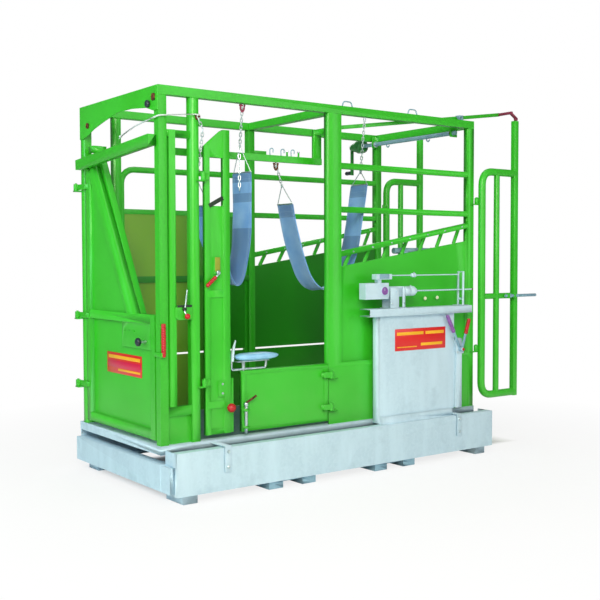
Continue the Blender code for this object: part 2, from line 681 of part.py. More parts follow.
def rack_pieces(y_mid, y_sheet, x0, x1):
    """Sloping rack bar above a rear bay sheet, with its short slanted struts."""
    def line(front, rear, x):
        return front + (rear - front) * (x - MID_POST_END) / (REAR_POST_X - MID_POST_END)
    pieces = [flat_between((x0, y_mid, RACK_FRONT_Z), (x1, y_mid, RACK_REAR_Z),
                           RACK_BAR, RACK_BAR, (0, 1, 0))]
    pitch = (REAR_POST_X - MID_POST_END) / RACK_STRUTS
    for k in range(RACK_STRUTS):
        foot = MID_POST_END + pitch * (k + 0.30)
        head = foot + 0.055
        pieces.append(flat_between(
            (foot, y_sheet, line(REAR_SHEET_FRONT_Z, REAR_SHEET_REAR_Z, foot) - 0.003),
            (head, y_sheet, line(RACK_FRONT_Z, RACK_REAR_Z, head)), 0.024, SHEET + 0.006, (0, 1, 0)))
    return pieces


def make_rear_bays():
    """Near and far rear bays: posts, slats, racks and sheets as welded frames."""
    for side, sign in (("near", -1), ("far", 1)):
        outer = sign * FAR
        inner = sign * (FAR - POST)
        ys = (min(outer, inner), max(outer, inner))
        mid = (ys[0] + ys[1]) / 2
        near = side == "near"
        mid_x = MID_POST_X if near else MID_POST_END - POST
        mid_low = DOOR_TOP_Z + 0.0005 if near else DECK_Z + GAP
        pieces = [box((REAR_POST_X, FRAME_LENGTH), ys, (DECK_Z + GAP, RAIL_LOW_Z - GAP)),
                  box((mid_x, MID_POST_END), ys, (mid_low, RAIL_LOW_Z - GAP))]
        span = (MID_POST_END - EMBED, REAR_POST_X + EMBED)
        for z in (LOWER_SLAT_Z, UPPER_SLAT_Z):
            pieces.append(box(span, (mid - SLAT / 2, mid + SLAT / 2), (z - SLAT / 2, z + SLAT / 2)))
        sheet_y = (mid - sign * 0.010 - SHEET / 2, mid - sign * 0.010 + SHEET / 2)
        low_z = DECK_Z + GAP
        ramp = [(MID_POST_END - EMBED, REAR_SHEET_FRONT_Z), (REAR_POST_X + EMBED, REAR_SHEET_REAR_Z)]
        if near:
            pieces.append(prism([(MID_POST_END - EMBED, low_z), (REAR_POST_X + EMBED, low_z)] + ramp[::-1],
                                "y", sheet_y[0], sheet_y[1]))
            pieces.append(box((MID_POST_X, REAR_POST_X + EMBED), (NEAR + 0.002, NEAR + 0.012),
                              (low_z, DOOR_TOP_Z - 0.004)))
            pieces.append(box((MID_POST_X, REAR_POST_X + EMBED), (NEAR, NEAR + POST - 0.001),
                              (DOOR_TOP_Z - 0.026, DOOR_TOP_Z + 0.002)))
            for z in DOOR_HINGE_ZS:
                pieces += pintle(MID_POST_X, DOOR_HINGE_Y, z,
                                 [((MID_POST_X - 0.012, MID_POST_X + 0.040),
                                   (DOOR_HINGE_Y - 0.012, NEAR - 0.003)),
                                  ((MID_POST_X + 0.002, MID_POST_X + 0.040), (NEAR - 0.006, NEAR + 0.010))])
        else:
            pieces.append(prism([(MID_POST_END - EMBED, FAR_SLIT_Z + FAR_SLIT),
                                 (REAR_POST_X + EMBED, FAR_SLIT_Z + FAR_SLIT)] + ramp[::-1],
                                "y", sheet_y[0], sheet_y[1]))
            pieces.append(box((MID_POST_END - EMBED, REAR_POST_X + EMBED), sheet_y, (low_z, FAR_SLIT_Z)))
        pieces += rack_pieces(mid, sum(sheet_y) / 2, MID_POST_END - EMBED, REAR_POST_X + EMBED)
        x, y = NEAR_LEAF_AXIS if near else FAR_LEAF_AXIS
        for z in LEAF_HINGE_ZS:
            arms = [((FRAME_LENGTH - 0.030, x + 0.008), (y - 0.009, y + 0.008))]
            if near:
                arms.append(((FRAME_LENGTH - 0.031, FRAME_LENGTH - 0.002), (y - 0.009, NEAR + 0.006)))
            pieces += pintle(x, y, z, arms)
        node(side + "_rear_bay", "green", pieces)


def make_far_front_bay():
    """Far front bay: second post, bent tube hoop, sheets and the ledge across them."""
    y = FAR - POST / 2
    end_x = MID_POST_END - POST - GAP
    path = rounded([(FAR_TUBE_X, y, DECK_Z + GAP), (FAR_TUBE_X, y, UPPER_SLAT_Z),
                    (end_x, y, UPPER_SLAT_Z)], 0.090, 5)
    sheet_y = (y - 0.012, y - 0.012 + SHEET)
    front_x = POST + GAP
    node("far_front_bay", "green", [
        box((SECOND_POST_X, SECOND_POST_X + POST), (FAR - POST, FAR), (DECK_Z + GAP, RAIL_LOW_Z - GAP)),
        tube(path, FAR_TUBE_R),
        box((FAR_TUBE_X, end_x), (y - 0.016, y + 0.016), (LOWER_SLAT_Z - 0.016, LOWER_SLAT_Z + 0.016)),
        box((front_x, end_x - 0.001), sheet_y, (FAR_SLIT_Z + FAR_SLIT, FAR_SHEET_TOP - 0.012)),
        box((front_x + 0.001, end_x), (y - 0.026, y + 0.010), (1.184, 1.226)),
        box((front_x, end_x - 0.001), sheet_y, (DECK_Z + GAP + 0.001, FAR_SLIT_Z)),
        box((end_x - 0.030, end_x), (y - 0.015, y + 0.015), (DECK_Z + GAP, UPPER_SLAT_Z))])


def make_near_front_bay():
    """Near front post with its narrow bay, the guide bracket and its lever."""
    y = NEAR + POST / 2
    ys = (y - BAY_BAR / 2, y + BAY_BAR / 2)
    front_x = POST - EMBED
    end_x = SECOND_POST_X - GAP
    node("near_front_bay", "green", [
        box((0, POST), (NEAR, NEAR + POST), (DECK_Z + GAP, RAIL_LOW_Z - GAP)),
        box((BAY_BAR_X, BAY_BAR_X + BAY_BAR), ys, (BAY_RAIL_Z, BAY_TOP_Z)),
        box((front_x, end_x), (ys[0] + 0.001, ys[1] - 0.001), (BAY_TOP_Z - BAY_BAR, BAY_TOP_Z - 0.001)),
        box((front_x, end_x), (ys[0] - 0.001, ys[1] - 0.002), (BAY_RAIL_Z, BAY_RAIL_Z + 0.052)),
        box((front_x, end_x), (y - 0.002, y + 0.002), (DECK_Z + GAP + 0.0005, BAY_RAIL_Z + 0.010)),
        box((0.108, end_x), (NEAR - 0.003, NEAR + 0.010), (1.000, 1.082)),
        box((0.096, 0.120), (NEAR - 0.002, NEAR + 0.030), (1.010, 1.072))])
    pivot = (0.150, NEAR - 0.010, 1.060)
    node("neck_lever", "red", [
        rod((pivot[0], NEAR - 0.003 - GAP, pivot[2]), (pivot[0], NEAR - 0.014, pivot[2]), 0.012, SMALL_SIDES),
        rod((0.166, NEAR - 0.010, 1.168), (0.148, NEAR - 0.010, 1.046), 0.004, 8),
        rod((0.148, NEAR - 0.010, 1.050), (0.160, NEAR - 0.020, 1.022), 0.005, 8),
        ball((0.160, NEAR - 0.022, 1.020), 0.016)], pivot=pivot)


def make_head_gate():
    """Head gate: frame with wedge sheet, sloping guide bar and fixed jaw."""
    xs = (0.0, GATE_DEPTH)
    far_stile = (GATE_FAR_Y - GATE_STILE, GATE_FAR_Y)
    near_stile = (GATE_NEAR_Y, GATE_NEAR_Y + GATE_STILE)
    mid_z = (GATE_MID_Z, GATE_MID_Z + GATE_MID_HEIGHT)
    pieces = [
        box(xs, far_stile, (GATE_LOW_Z, GATE_STILE_TOP)),
        box(xs, near_stile, (GATE_LOW_Z, mid_z[1])),
        box((xs[0] + 0.0005, xs[1] - 0.0005), (GATE_NEAR_Y + 0.004, GATE_FAR_Y - 0.004),
            (GATE_LOW_Z + 0.0005, GATE_LOW_Z + GATE_STILE)),
        box((xs[0] + 0.0005, xs[1] - 0.0005), (GATE_NEAR_Y + 0.004, GATE_FAR_Y - 0.004),
            (mid_z[0], mid_z[1] - 0.0005)),
        box((0.028, 0.028 + SHEET), (GATE_NEAR_Y + 0.02, GATE_FAR_Y - 0.02),
            (GATE_LOW_Z + 0.02, GATE_MID_Z + 0.02)),
    ]
    jaw_top = Vector((GATE_DEPTH / 2, JAW_TOP[0], JAW_TOP[1]))
    jaw_foot = Vector((GATE_DEPTH / 2, JAW_FOOT[0], JAW_FOOT[1]))
    pieces.append(flat_between(jaw_foot, jaw_top, JAW_WIDTH, GATE_DEPTH - 0.002, (1, 0, 0)))
    wedge = [(GATE_FAR_Y - 0.02, GATE_MID_Z + 0.02), (JAW_FOOT[0] + 0.02, GATE_MID_Z + 0.02),
             (JAW_TOP[0] - 0.045, 1.800), (GATE_FAR_Y - 0.02, 1.880)]
    pieces.append(prism(wedge, "x", 0.018, 0.018 + SHEET))
    pieces.append(box((0.012, 0.024), (-0.370, -0.020), (YOKE_PIVOT[1] - 0.045, GATE_MID_Z + 0.010)))
    bar_x = -HEAD_BAR_OFF - HEAD_BAR_DEPTH / 2
    pieces.append(flat_between((bar_x, *HEAD_BAR_NEAR), (bar_x, *HEAD_BAR_FAR),
                               HEAD_BAR_HEIGHT, HEAD_BAR_DEPTH, (1, 0, 0)))
    pieces.append(box((-0.020, 0.012), (GATE_FAR_Y - 0.052, GATE_FAR_Y - 0.012), (1.890, 1.920)))
    pieces += [rod((0.020, *YOKE_PIVOT), (YOKE_X[0] - GAP, *YOKE_PIVOT), 0.020, SMALL_SIDES),
               rod((0.020, *YOKE_PIVOT), (YOKE_X[1] + 0.004, *YOKE_PIVOT), YOKE_PIN_R, SMALL_SIDES),
               rod((YOKE_X[1] + GAP, *YOKE_PIVOT), (YOKE_X[1] + 0.006, *YOKE_PIVOT), 0.018, SMALL_SIDES)]
    bores = []
    for z in GATE_HINGE_ZS:
        solids, bore = hinge_eye(GATE_HINGE_X, GATE_HINGE_Y, z,
                                 ((-0.018, -0.005), (GATE_FAR_Y - 0.030, GATE_HINGE_Y - 0.009)))
        pieces += solids
        pieces.append(box((-0.010, 0.010), (GATE_FAR_Y - 0.040, GATE_FAR_Y - 0.010),
                          (z + 0.006, z + HINGE_EYE_HEIGHT - 0.006)))
        bores.append(bore)
    facet = math.cos(math.pi / SMALL_SIDES)
    bores.append(rod((-0.020, *PLUNGER), (0.050, *PLUNGER),
                     PLUNGER_R + SLIDE_CLEARANCE, SMALL_SIDES))
    for y in SETTING_HOLE_YS:
        bores.append(rod((-0.010, y, 0.925), (0.0265, y, 0.925), 0.007, 8))
    node("head_gate", "green", pieces, holes=bores, pivot=(GATE_HINGE_X, GATE_HINGE_Y, 1.0))

    mid_x = (YOKE_X[0] + YOKE_X[1]) / 2
    pivot = Vector((mid_x, *YOKE_PIVOT))
    top = Vector((mid_x, *YOKE_TOP))
    low = pivot - (top - pivot).normalized() * 0.045
    block_y = (YOKE_TOP[0] - 0.072, YOKE_TOP[0] - 0.007)
    node("yoke_arm", "green", [
        flat_between(low, top, YOKE_WIDTH, YOKE_X[1] - YOKE_X[0], (1, 0, 0)),
        box((0.004, YOKE_X[0] + 0.006), block_y, (YOKE_TOP[1] - 0.014, YOKE_TOP[1] + 0.026)),
        box((YOKE_X[0] + 0.004, YOKE_X[1] - 0.004), block_y, (YOKE_TOP[1] - 0.030, YOKE_TOP[1] + 0.025))],
        holes=[rod((YOKE_X[0] - 0.01, *YOKE_PIVOT), (YOKE_X[1] + 0.01, *YOKE_PIVOT),
                   (YOKE_PIN_R + HINGE_CLEARANCE) / facet, SMALL_SIDES)],
        pivot=(0.0, *YOKE_PIVOT))
    node("yoke_pin", "black", [
        rod((-0.034, *PLUNGER), (0.050, *PLUNGER), PLUNGER_R, SMALL_SIDES),
        turned((-0.052, *PLUNGER), (1, 0, 0),
               ((0, 0.016), (0.006, 0.024), (0.022, 0.024), (0.028, 0.016)), 12)],
        pivot=(0.0, *PLUNGER))

    x, z = LATCH_PIVOT
    grip_y = NEAR - 0.0165
    tongue_z = (0.800, 0.825)
    node("head_gate_latch", "red", [
        rod((x, NEAR - GAP, z), (x, grip_y, z), 0.011, SMALL_SIDES),
        turned((x, grip_y, z + 0.020), (0, 0, -1),
               ((0, 0.010), (0.008, 0.013), (0.172, 0.013), (0.185, 0.009)), SMALL_SIDES),
        box((-0.0083, x + 0.004), (grip_y - 0.006, grip_y + 0.006), tongue_z),
        box((-0.0083, -GAP), (grip_y - 0.005, GATE_NEAR_Y - 0.009), tongue_z)],
        pivot=(x, NEAR, z))

    node("head_gate_sign", "red", [
        box((0.028 - 0.002 - GAP, 0.028 - GAP), (-0.239, 0.216), (0.655, 0.780))])


def make_wing_gate():
    """Side wing gate with its latch lever, sliding catch and ball knob."""
    y = NEAR + 0.014
    ys = (y - WING_DEPTH / 2, y + WING_DEPTH / 2)
    left = (0.290, 0.290 + WING_UPRIGHT)
    stile = (WING_FREE_X - WING_STILE, WING_FREE_X)
    inner_x = (left[0] + 0.010, stile[0] + 0.010)
    gusset = [(left[0], WING_SHOULDER_Z + 0.006), (left[0], 1.978), (left[0] + 0.030, 2.004), (0.392, 2.064),
              (WING_FREE_X - 0.001, WING_TOP_Z - 0.001), (WING_FREE_X - 0.001, WING_SHOULDER_Z)]
    pieces = [
        box(stile, ys, (WING_LOW_Z, WING_TOP_Z)),
        box(left, (ys[0] + 0.002, ys[1] - 0.002), (WING_LOW_Z, 1.976)),
        prism(gusset, "y", ys[0] + 0.003, ys[0] + 0.011),
        box(inner_x, (y - 0.002, y + 0.002), (WING_LOW_Z + 0.01, WING_SHEET_TOP)),
        box(inner_x, (ys[0] + 0.003, ys[1] - 0.003), (WING_LOW_Z, WING_LOW_Z + 0.034)),
        box(inner_x, (ys[0] + 0.001, ys[1] - 0.003), (0.486, 0.526)),
        box(inner_x, (ys[0] + 0.001, ys[1] - 0.003), (1.120, 1.160)),
        box((0.350, 0.386), (NEAR - 0.004, NEAR + 0.016), (1.250, 1.350)),
        box((0.376, 0.420), (NEAR - 0.003, NEAR + 0.016), (0.550, 0.640)),
        flat_between((0.300, y - 0.004, 1.626), (0.420, y - 0.004, 1.690), 0.020, 0.014, (0, 1, 0)),
        box((stile[0] + 0.010, WING_FREE_X + 0.026), (y - 0.002, y + 0.002), (WING_LOW_Z + 0.001, 0.650)),
    ]
    bores = []
    for z in WING_HINGE_ZS:
        solids, bore = hinge_eye(WING_HINGE_X, WING_HINGE_Y, z,
                                 ((WING_HINGE_X + 0.008, left[0] + 0.012),
                                  (WING_HINGE_Y - 0.006, WING_HINGE_Y + 0.006)))
        pieces += solids
        pieces.append(box((left[0] + 0.002, left[0] + 0.014), (WING_HINGE_Y - 0.006, y),
                          (z + 0.006, z + HINGE_EYE_HEIGHT - 0.006)))
        bores.append(bore)
    node("wing_gate", "green", pieces, holes=bores, pivot=(WING_HINGE_X, WING_HINGE_Y, 1.0))

    pivot = (0.368, NEAR - 0.012, 1.262)
    node("wing_latch_lever", "red", [
        rod((pivot[0], NEAR - 0.004 - GAP, pivot[2]), (pivot[0], NEAR - 0.020, pivot[2]), 0.012, SMALL_SIDES),
        turned((pivot[0] + 0.006, NEAR - 0.016, pivot[2] - 0.004), (-0.080, 0, -0.070),
               ((0, 0.006), (0.030, 0.006), (0.034, 0.011), (0.108, 0.011), (0.114, 0.007)), 10)],
        pivot=pivot)
    knob = (0.436, ys[0] - GAP, 0.485)
    node("wing_catch_knob", "red", [
        rod(knob, (knob[0], knob[1] - 0.030, knob[2]), 0.006, 8),
        ball((knob[0], knob[1] - 0.038, knob[2]), 0.026, 12)], pivot=knob)


def make_side_door():
    """Low side door, its drop bolt and the hoof rest above it."""
    y = NEAR + 0.007
    hinge_x = MID_POST_X
    xs = (DOOR_FREE_X, MID_POST_X - 0.006)
    pieces = [
        box(xs, (y - 0.002, y + 0.002), (GATE_LOW_Z, DOOR_TOP_Z - 0.006)),
        box((xs[0], xs[1] - 0.001), (NEAR, NEAR + POST - 0.006), (DOOR_TOP_Z - 0.022, DOOR_TOP_Z)),
        box((xs[0], xs[1] - 0.001), (NEAR + 0.001, NEAR + 0.030), (GATE_LOW_Z, GATE_LOW_Z + 0.026)),
        box((xs[0], xs[0] + 0.030), (NEAR + 0.001, NEAR + 0.030), (GATE_LOW_Z, DOOR_TOP_Z - 0.004)),
        box((xs[1] - 0.030, xs[1]), (NEAR + 0.001, NEAR + 0.030), (GATE_LOW_Z, DOOR_TOP_Z - 0.004)),
        box((BOLT_X - 0.008, BOLT_X + 0.020), (NEAR - 0.028, NEAR + 0.010), (0.452, 0.468)),
        box((BOLT_X - 0.008, BOLT_X + 0.020), (NEAR - 0.028, NEAR + 0.010), (0.352, 0.366)),
    ]
    facet = math.cos(math.pi / SMALL_SIDES)
    bores = [rod((BOLT_X + 0.006, NEAR - 0.014, 0.30), (BOLT_X + 0.006, NEAR - 0.014, 0.50),
                 BOLT_R + SLIDE_CLEARANCE, SMALL_SIDES),
             rod((*REST_PIN, DOOR_TOP_Z - 0.035), (*REST_PIN, DOOR_TOP_Z + 0.010),
                 (REST_PIN_R + HINGE_CLEARANCE) / facet, SMALL_SIDES)]
    for z in DOOR_HINGE_ZS:
        solids, bore = hinge_eye(hinge_x, DOOR_HINGE_Y, z,
                                 ((hinge_x - 0.060, hinge_x - 0.008),
                                  (DOOR_HINGE_Y - 0.005, DOOR_HINGE_Y + 0.005)))
        pieces += solids
        pieces.append(box((hinge_x - 0.060, hinge_x - 0.040), (DOOR_HINGE_Y - 0.005, y),
                          (z + 0.006, z + HINGE_EYE_HEIGHT - 0.006)))
        bores.append(bore)
    node("side_door", "green", pieces, holes=bores, pivot=(hinge_x, DOOR_HINGE_Y, 0.5))

    bx, by = BOLT_X + 0.006, NEAR - 0.014
    node("drop_bolt", "steel", [
        rod((bx, by, 0.322), (bx, by, 0.500), BOLT_R, SMALL_SIDES),
        rod((bx, by, 0.488), (bx + 0.062, by - 0.016, 0.540), 0.007, 8),
        rod((bx, by, 0.484), (bx, by, 0.502), 0.0135, SMALL_SIDES)], pivot=(bx, by, 0.4))

    rest_x = (0.462, 0.725)
    rest_y = NEAR + 0.016
    bar_z = DOOR_TOP_Z + 0.007 + GAP
    hoop = rounded([(rest_x[0], rest_y, bar_z), (rest_x[1] - 0.020, rest_y, bar_z),
                    (rest_x[1] - 0.012, rest_y, 0.742)], 0.012, 3)
    node("hoof_rest_bracket", "steel", [
        tube(hoop, 0.007, 8),
        rod((*REST_PIN, bar_z), (*REST_PIN, 0.742), 0.012, SMALL_SIDES),
        rod((*REST_PIN, DOOR_TOP_Z - 0.032), (*REST_PIN, bar_z + 0.010), REST_PIN_R, SMALL_SIDES),
        box((0.500, rest_x[1]), (rest_y - 0.020, rest_y + 0.020), (0.738, 0.744)),
        prism([(0.464, 0.739), (0.510, 0.739), (0.510, 0.7435), (0.478, 0.7435), (0.486, 0.800),
               (0.502, 0.868), (0.496, 0.868), (0.472, 0.800)], "y", rest_y - 0.018, rest_y + 0.018),
        rod((rest_x[0] + 0.008, rest_y, bar_z - 0.002), (rest_x[0] + 0.008, rest_y, 0.760), 0.009, 10)],
        pivot=(*REST_PIN, 0.7))
    half = PAD_DEPTH / 2
    rows = []
    pad_steps = 10
    for k in range(pad_steps + 1):
        share = k / pad_steps
        end = 1 - (2 * share - 1) ** 6
        if share > 0.5:
            end = 1 - (2 * share - 1) ** 3
        x = 0.494 + PAD_LENGTH * share
        ring = []
        for j in range(12):
            angle = 2 * math.pi * (j + 0.5) / 12
            wide = half * (0.55 + 0.45 * end)
            tall = PAD_HEIGHT / 2 * (0.30 + 0.70 * end)
            cy = math.copysign(abs(math.cos(angle)) ** 0.7, math.cos(angle)) * wide
            cz = math.copysign(abs(math.sin(angle)) ** 0.7, math.sin(angle)) * tall
            ring.append((x, rest_y - 0.010 + cy, 0.744 + GAP + PAD_HEIGHT / 2 + cz))
        rows.append(ring)
    node("hoof_rest_pad", "pad", [loft(rows)], smooth=True)


def make_rear_gates():
    """Two rear gate leaves folded straight back, a slide bolt and the stay bar."""
    near_y = NEAR_LEAF_AXIS[1] - LEAF_OUT
    near_stile = NEAR_LEAF_AXIS[0] + NEAR_LEAF_REACH
    bolt_y = near_y - 0.036
    half = LEAF_STILE / 2
    for name, axis, reach, y in (
            ("near_rear_leaf", NEAR_LEAF_AXIS, NEAR_LEAF_REACH, near_y),
            ("far_rear_leaf", FAR_LEAF_AXIS, FAR_LEAF_REACH, FAR_LEAF_AXIS[1] + LEAF_OUT)):
        tube_x = axis[0] + LEAF_TUBE_OFF
        bar_x = axis[0] + LEAF_BAR_OFF
        stile_x = axis[0] + reach
        loop = rounded([(stile_x, y, LEAF_HIGH_Z), (tube_x, y, LEAF_HIGH_Z),
                        (tube_x, y, LEAF_LOW_Z), (stile_x, y, LEAF_LOW_Z)], LEAF_BEND, 5)
        pieces = [
            tube(loop, LEAF_TUBE_R),
            rod((bar_x, y, LEAF_LOW_Z), (bar_x, y, LEAF_HIGH_Z), LEAF_BAR_R),
            rod((tube_x, y, LEAF_MID_Z), (stile_x, y, LEAF_MID_Z), LEAF_BAR_R - 0.001),
            box((stile_x - half, stile_x + half), (y - half, y + half),
                (LEAF_LOW_Z - LEAF_TUBE_R - 0.001, LEAF_STILE_TOP)),
        ]
        bores = []
        for z in LEAF_HINGE_ZS:
            solids, bore = hinge_eye(axis[0], axis[1], z, ((axis[0] + 0.009, tube_x - 0.010),
                                                           (axis[1] - 0.006, axis[1] + 0.006)))
            pieces += solids
            bores.append(bore)
        if axis == NEAR_LEAF_AXIS:
            for x in BOLT_GUIDE_XS:
                pieces.append(box((x - 0.008, x + 0.008), (bolt_y - 0.018, y - 0.010),
                                  (LEAF_MID_Z - 0.018, LEAF_MID_Z + 0.018)))
            bores.append(rod((BOLT_GUIDE_XS[0] - 0.05, bolt_y, LEAF_MID_Z),
                             (BOLT_GUIDE_XS[1] + 0.03, bolt_y, LEAF_MID_Z),
                             GATE_BOLT_R + SLIDE_CLEARANCE, SMALL_SIDES))
        node(name, "green", pieces, holes=bores, pivot=(axis[0], axis[1], 1.0))

    handle_x = near_stile + 0.010
    node("rear_gate_bolt", "steel", [
        rod((GATE_BOLT_X[0] - 0.014, bolt_y, LEAF_MID_Z), (GATE_BOLT_X[1], bolt_y, LEAF_MID_Z),
            GATE_BOLT_R, SMALL_SIDES),
        rod((handle_x, bolt_y, LEAF_MID_Z), (handle_x, bolt_y - 0.040, LEAF_MID_Z), 0.006, 8)],
        pivot=(handle_x, bolt_y, LEAF_MID_Z))

    front = Vector((STAY_FRONT[0], STAY_Y, STAY_FRONT[1]))
    rear = Vector((STAY_REAR[0], STAY_Y, STAY_REAR[1]))
    pivot = (STAY_PIVOT[0], STAY_Y, STAY_PIVOT[1])
    bar_face = STAY_SIZE / 2
    catch_z = LEAF_STILE_TOP + 0.004
    node("gate_stay", "green", [
        flat_between(front, rear, STAY_SIZE, STAY_SIZE, (0, 1, 0)),
        rod((pivot[0], STAY_Y - bar_face - 0.026, pivot[2]), (pivot[0], STAY_Y - bar_face + 0.004, pivot[2]),
            STAY_PIN_R, SMALL_SIDES),
        rod((pivot[0], STAY_Y + bar_face - 0.004, pivot[2]), (pivot[0], STAY_Y + bar_face + 0.008, pivot[2]),
            0.013, SMALL_SIDES),
        box((rear.x - 0.016, rear.x + 0.004), (near_y - 0.010, STAY_Y + bar_face - 0.001),
            (rear.z - 0.010, rear.z + 0.008)),
        box((rear.x - 0.015, near_stile + 0.022), (near_y - 0.012, near_y + 0.012),
            (catch_z + 0.010, rear.z + 0.006)),
        box((near_stile - 0.002, near_stile + 0.020), (near_y - 0.010, near_y + 0.010),
            (catch_z, rear.z))], pivot=pivot)


def hung(points, from_x=0.0):
    """Places of points given as x, inset from the near face and drop from the top."""
    return [(from_x + x, NEAR + inset, TOP_Z - drop) for x, inset, drop in points]


def make_overhead():
    """Hook rail, winch shaft with its crank, belly slings with their chains, pull rope."""
    ys = (HOOK_RAIL_Y - 0.014, HOOK_RAIL_Y + 0.014)
    low = HOOK_RAIL_Z - HOOK_RAIL_HEIGHT / 2
    high = HOOK_RAIL_Z + HOOK_RAIL_HEIGHT / 2
    inner_y = NEAR + POST + GAP
    front_x = BAY_BAR_X + BAY_BAR + 0.004
    drop_x = MID_POST_X + 0.074
    rail = [box((front_x, drop_x), ys, (low, high)),
            box((drop_x - 0.062, drop_x - 0.0005), (ys[0] + 0.004, ys[1] - 0.004),
                (low + 0.001, TOP_Z - 0.135)),
            box((drop_x - 0.052, drop_x - 0.010), (inner_y, ys[1] - 0.005),
                (TOP_Z - 0.169, TOP_Z - 0.1355)),
            box((front_x + 0.001, front_x + 0.041), (ys[0] + 0.004, ys[1] - 0.004),
                (low + 0.001, BAY_TOP_Z - 0.002)),
            box((front_x + 0.002, front_x + 0.040), (inner_y - 0.006, ys[1] - 0.005),
                (BAY_TOP_Z - 0.030, BAY_TOP_Z - 0.003)),
            box((drop_x - 0.510, drop_x - 0.426), (ys[0] + 0.001, ys[1] - 0.001),
                (low + 0.004, high + 0.020))]
    for x in (drop_x - 0.262, drop_x - 0.174):
        rail.append(rod((x, HOOK_RAIL_Y, high - 0.006), (x, HOOK_RAIL_Y, high + 0.026), 0.006, 8))
    node("hook_rail", "green", rail)

    collar_near = WINCH_PLATE_YS[0] + 0.004 + GAP
    collar_far = WINCH_PLATE_YS[1] - 0.004 - GAP
    x, z = WINCH_SHAFT_X, WINCH_SHAFT_Z
    shaft = [rod((x, WINCH_PLATE_YS[0] - 0.030, z), (x, WINCH_HUB_Y[1] + 0.006, z),
                 WINCH_SHAFT_R, SMALL_SIDES),
             rod((x, collar_near, z), (x, collar_near + 0.012, z), 0.023, 12),
             rod((x, collar_far - 0.012, z), (x, collar_far, z), 0.023, 12)]
    for y in (NEAR + 0.381, FAR - 0.207):
        foot = z - WINCH_SHAFT_R
        hook = rounded([(x, y, foot + 0.006), (x, y, foot - 0.012), (x, y - 0.018, foot - 0.020),
                        (x, y - 0.030, foot - 0.006)], 0.006, 3)
        shaft.append(tube(hook, 0.0045, 8))
    node("winch_shaft", "steel", shaft, pivot=(x, 0, z))
    crank_y = (WINCH_HUB_Y[1] + 0.008, WINCH_HUB_Y[1] + 0.018)
    hub = [turned((x, WINCH_HUB_Y[0], z), (0, 1, 0),
                  ((0, 0.034), (0.008, 0.052), (0.060, 0.052), (0.064, 0.038), (0.100, 0.038),
                   (WINCH_HUB_Y[1] - WINCH_HUB_Y[0], 0.030), (crank_y[1] - WINCH_HUB_Y[0], 0.024)), 16),
           box((x - 0.013, x + 0.013), crank_y, (z - WINCH_CRANK, z + 0.010)),
           rod((x, crank_y[0] + 0.002, z - WINCH_CRANK + 0.018),
               (x, crank_y[1] + 0.070, z - WINCH_CRANK + 0.018), 0.012, SMALL_SIDES)]
    node("winch_crank", "green", hub,
         holes=[rod((x, WINCH_HUB_Y[0] - 0.01, z), (x, WINCH_HUB_Y[1] + 0.0063, z),
                    (WINCH_SHAFT_R + 0.0004) / math.cos(math.pi / SMALL_SIDES), SMALL_SIDES)],
         pivot=(x, 0, z))

    hook_x, hook_z = SECOND_POST_X + POST / 2 + 0.016, TOP_Z - 0.157
    hang_y = NEAR - 0.0170
    pin_r = 0.006
    make_sling("front", hung(FRONT_SLING), FRONT_SLING_ACROSS, FRONT_SLING_WIDTH, (
        ((hook_x, hang_y, hook_z - pin_r - GAP), (0.270, hang_y, hook_z - 0.070),
         *hung([(0.285, 0.080, 0.497)])),
        ((0.560, NEAR + 0.025, RAIL_LOW_Z - GAP), *hung([(0.597, 0.110, 0.287)]))))
    end = MID_POST_END
    make_sling("rear", hung(REAR_SLING, end), REAR_SLING_ACROSS, REAR_SLING_WIDTH, (
        ((end - 0.373, HOOK_RAIL_Y, low - GAP), (end - 0.328, HOOK_RAIL_Y, TOP_Z - 0.497)),
        ((end + 0.209, NEAR + 0.025, RAIL_LOW_Z - GAP), *hung([(0.262, 0.128, 0.387)], end))))
    node("rope_pulley", "steel", [
        rod((hook_x, NEAR - GAP, hook_z), (hook_x, NEAR - 0.0260, hook_z), pin_r, 8),
        rod((hook_x, NEAR - 0.0030, hook_z), (hook_x, NEAR - 0.0080, hook_z), 0.017, 12)])
    rope_z = hook_z + pin_r + GAP + ROPE_R
    face = -FASCIA_THICKNESS - 0.008
    rope = curve_through([*hung([(face, 0.430, 0.241), (face, 0.339, 0.219), (face, 0.215, 0.197),
                                 (face, 0.061, 0.181), (face, 0.005, 0.175), (-0.010, -0.009, 0.172),
                                 (0.004, -0.017, 0.169), (0.040, -0.017, 0.165), (0.120, -0.017, 0.156)]),
                          (hook_x - 0.030, hang_y, rope_z + 0.001), (hook_x, hang_y, rope_z)], 3)
    node("pull_rope", "rope", [tube(rope, ROPE_R, 6), ball(rope[0], 0.007, 8)], smooth=True)


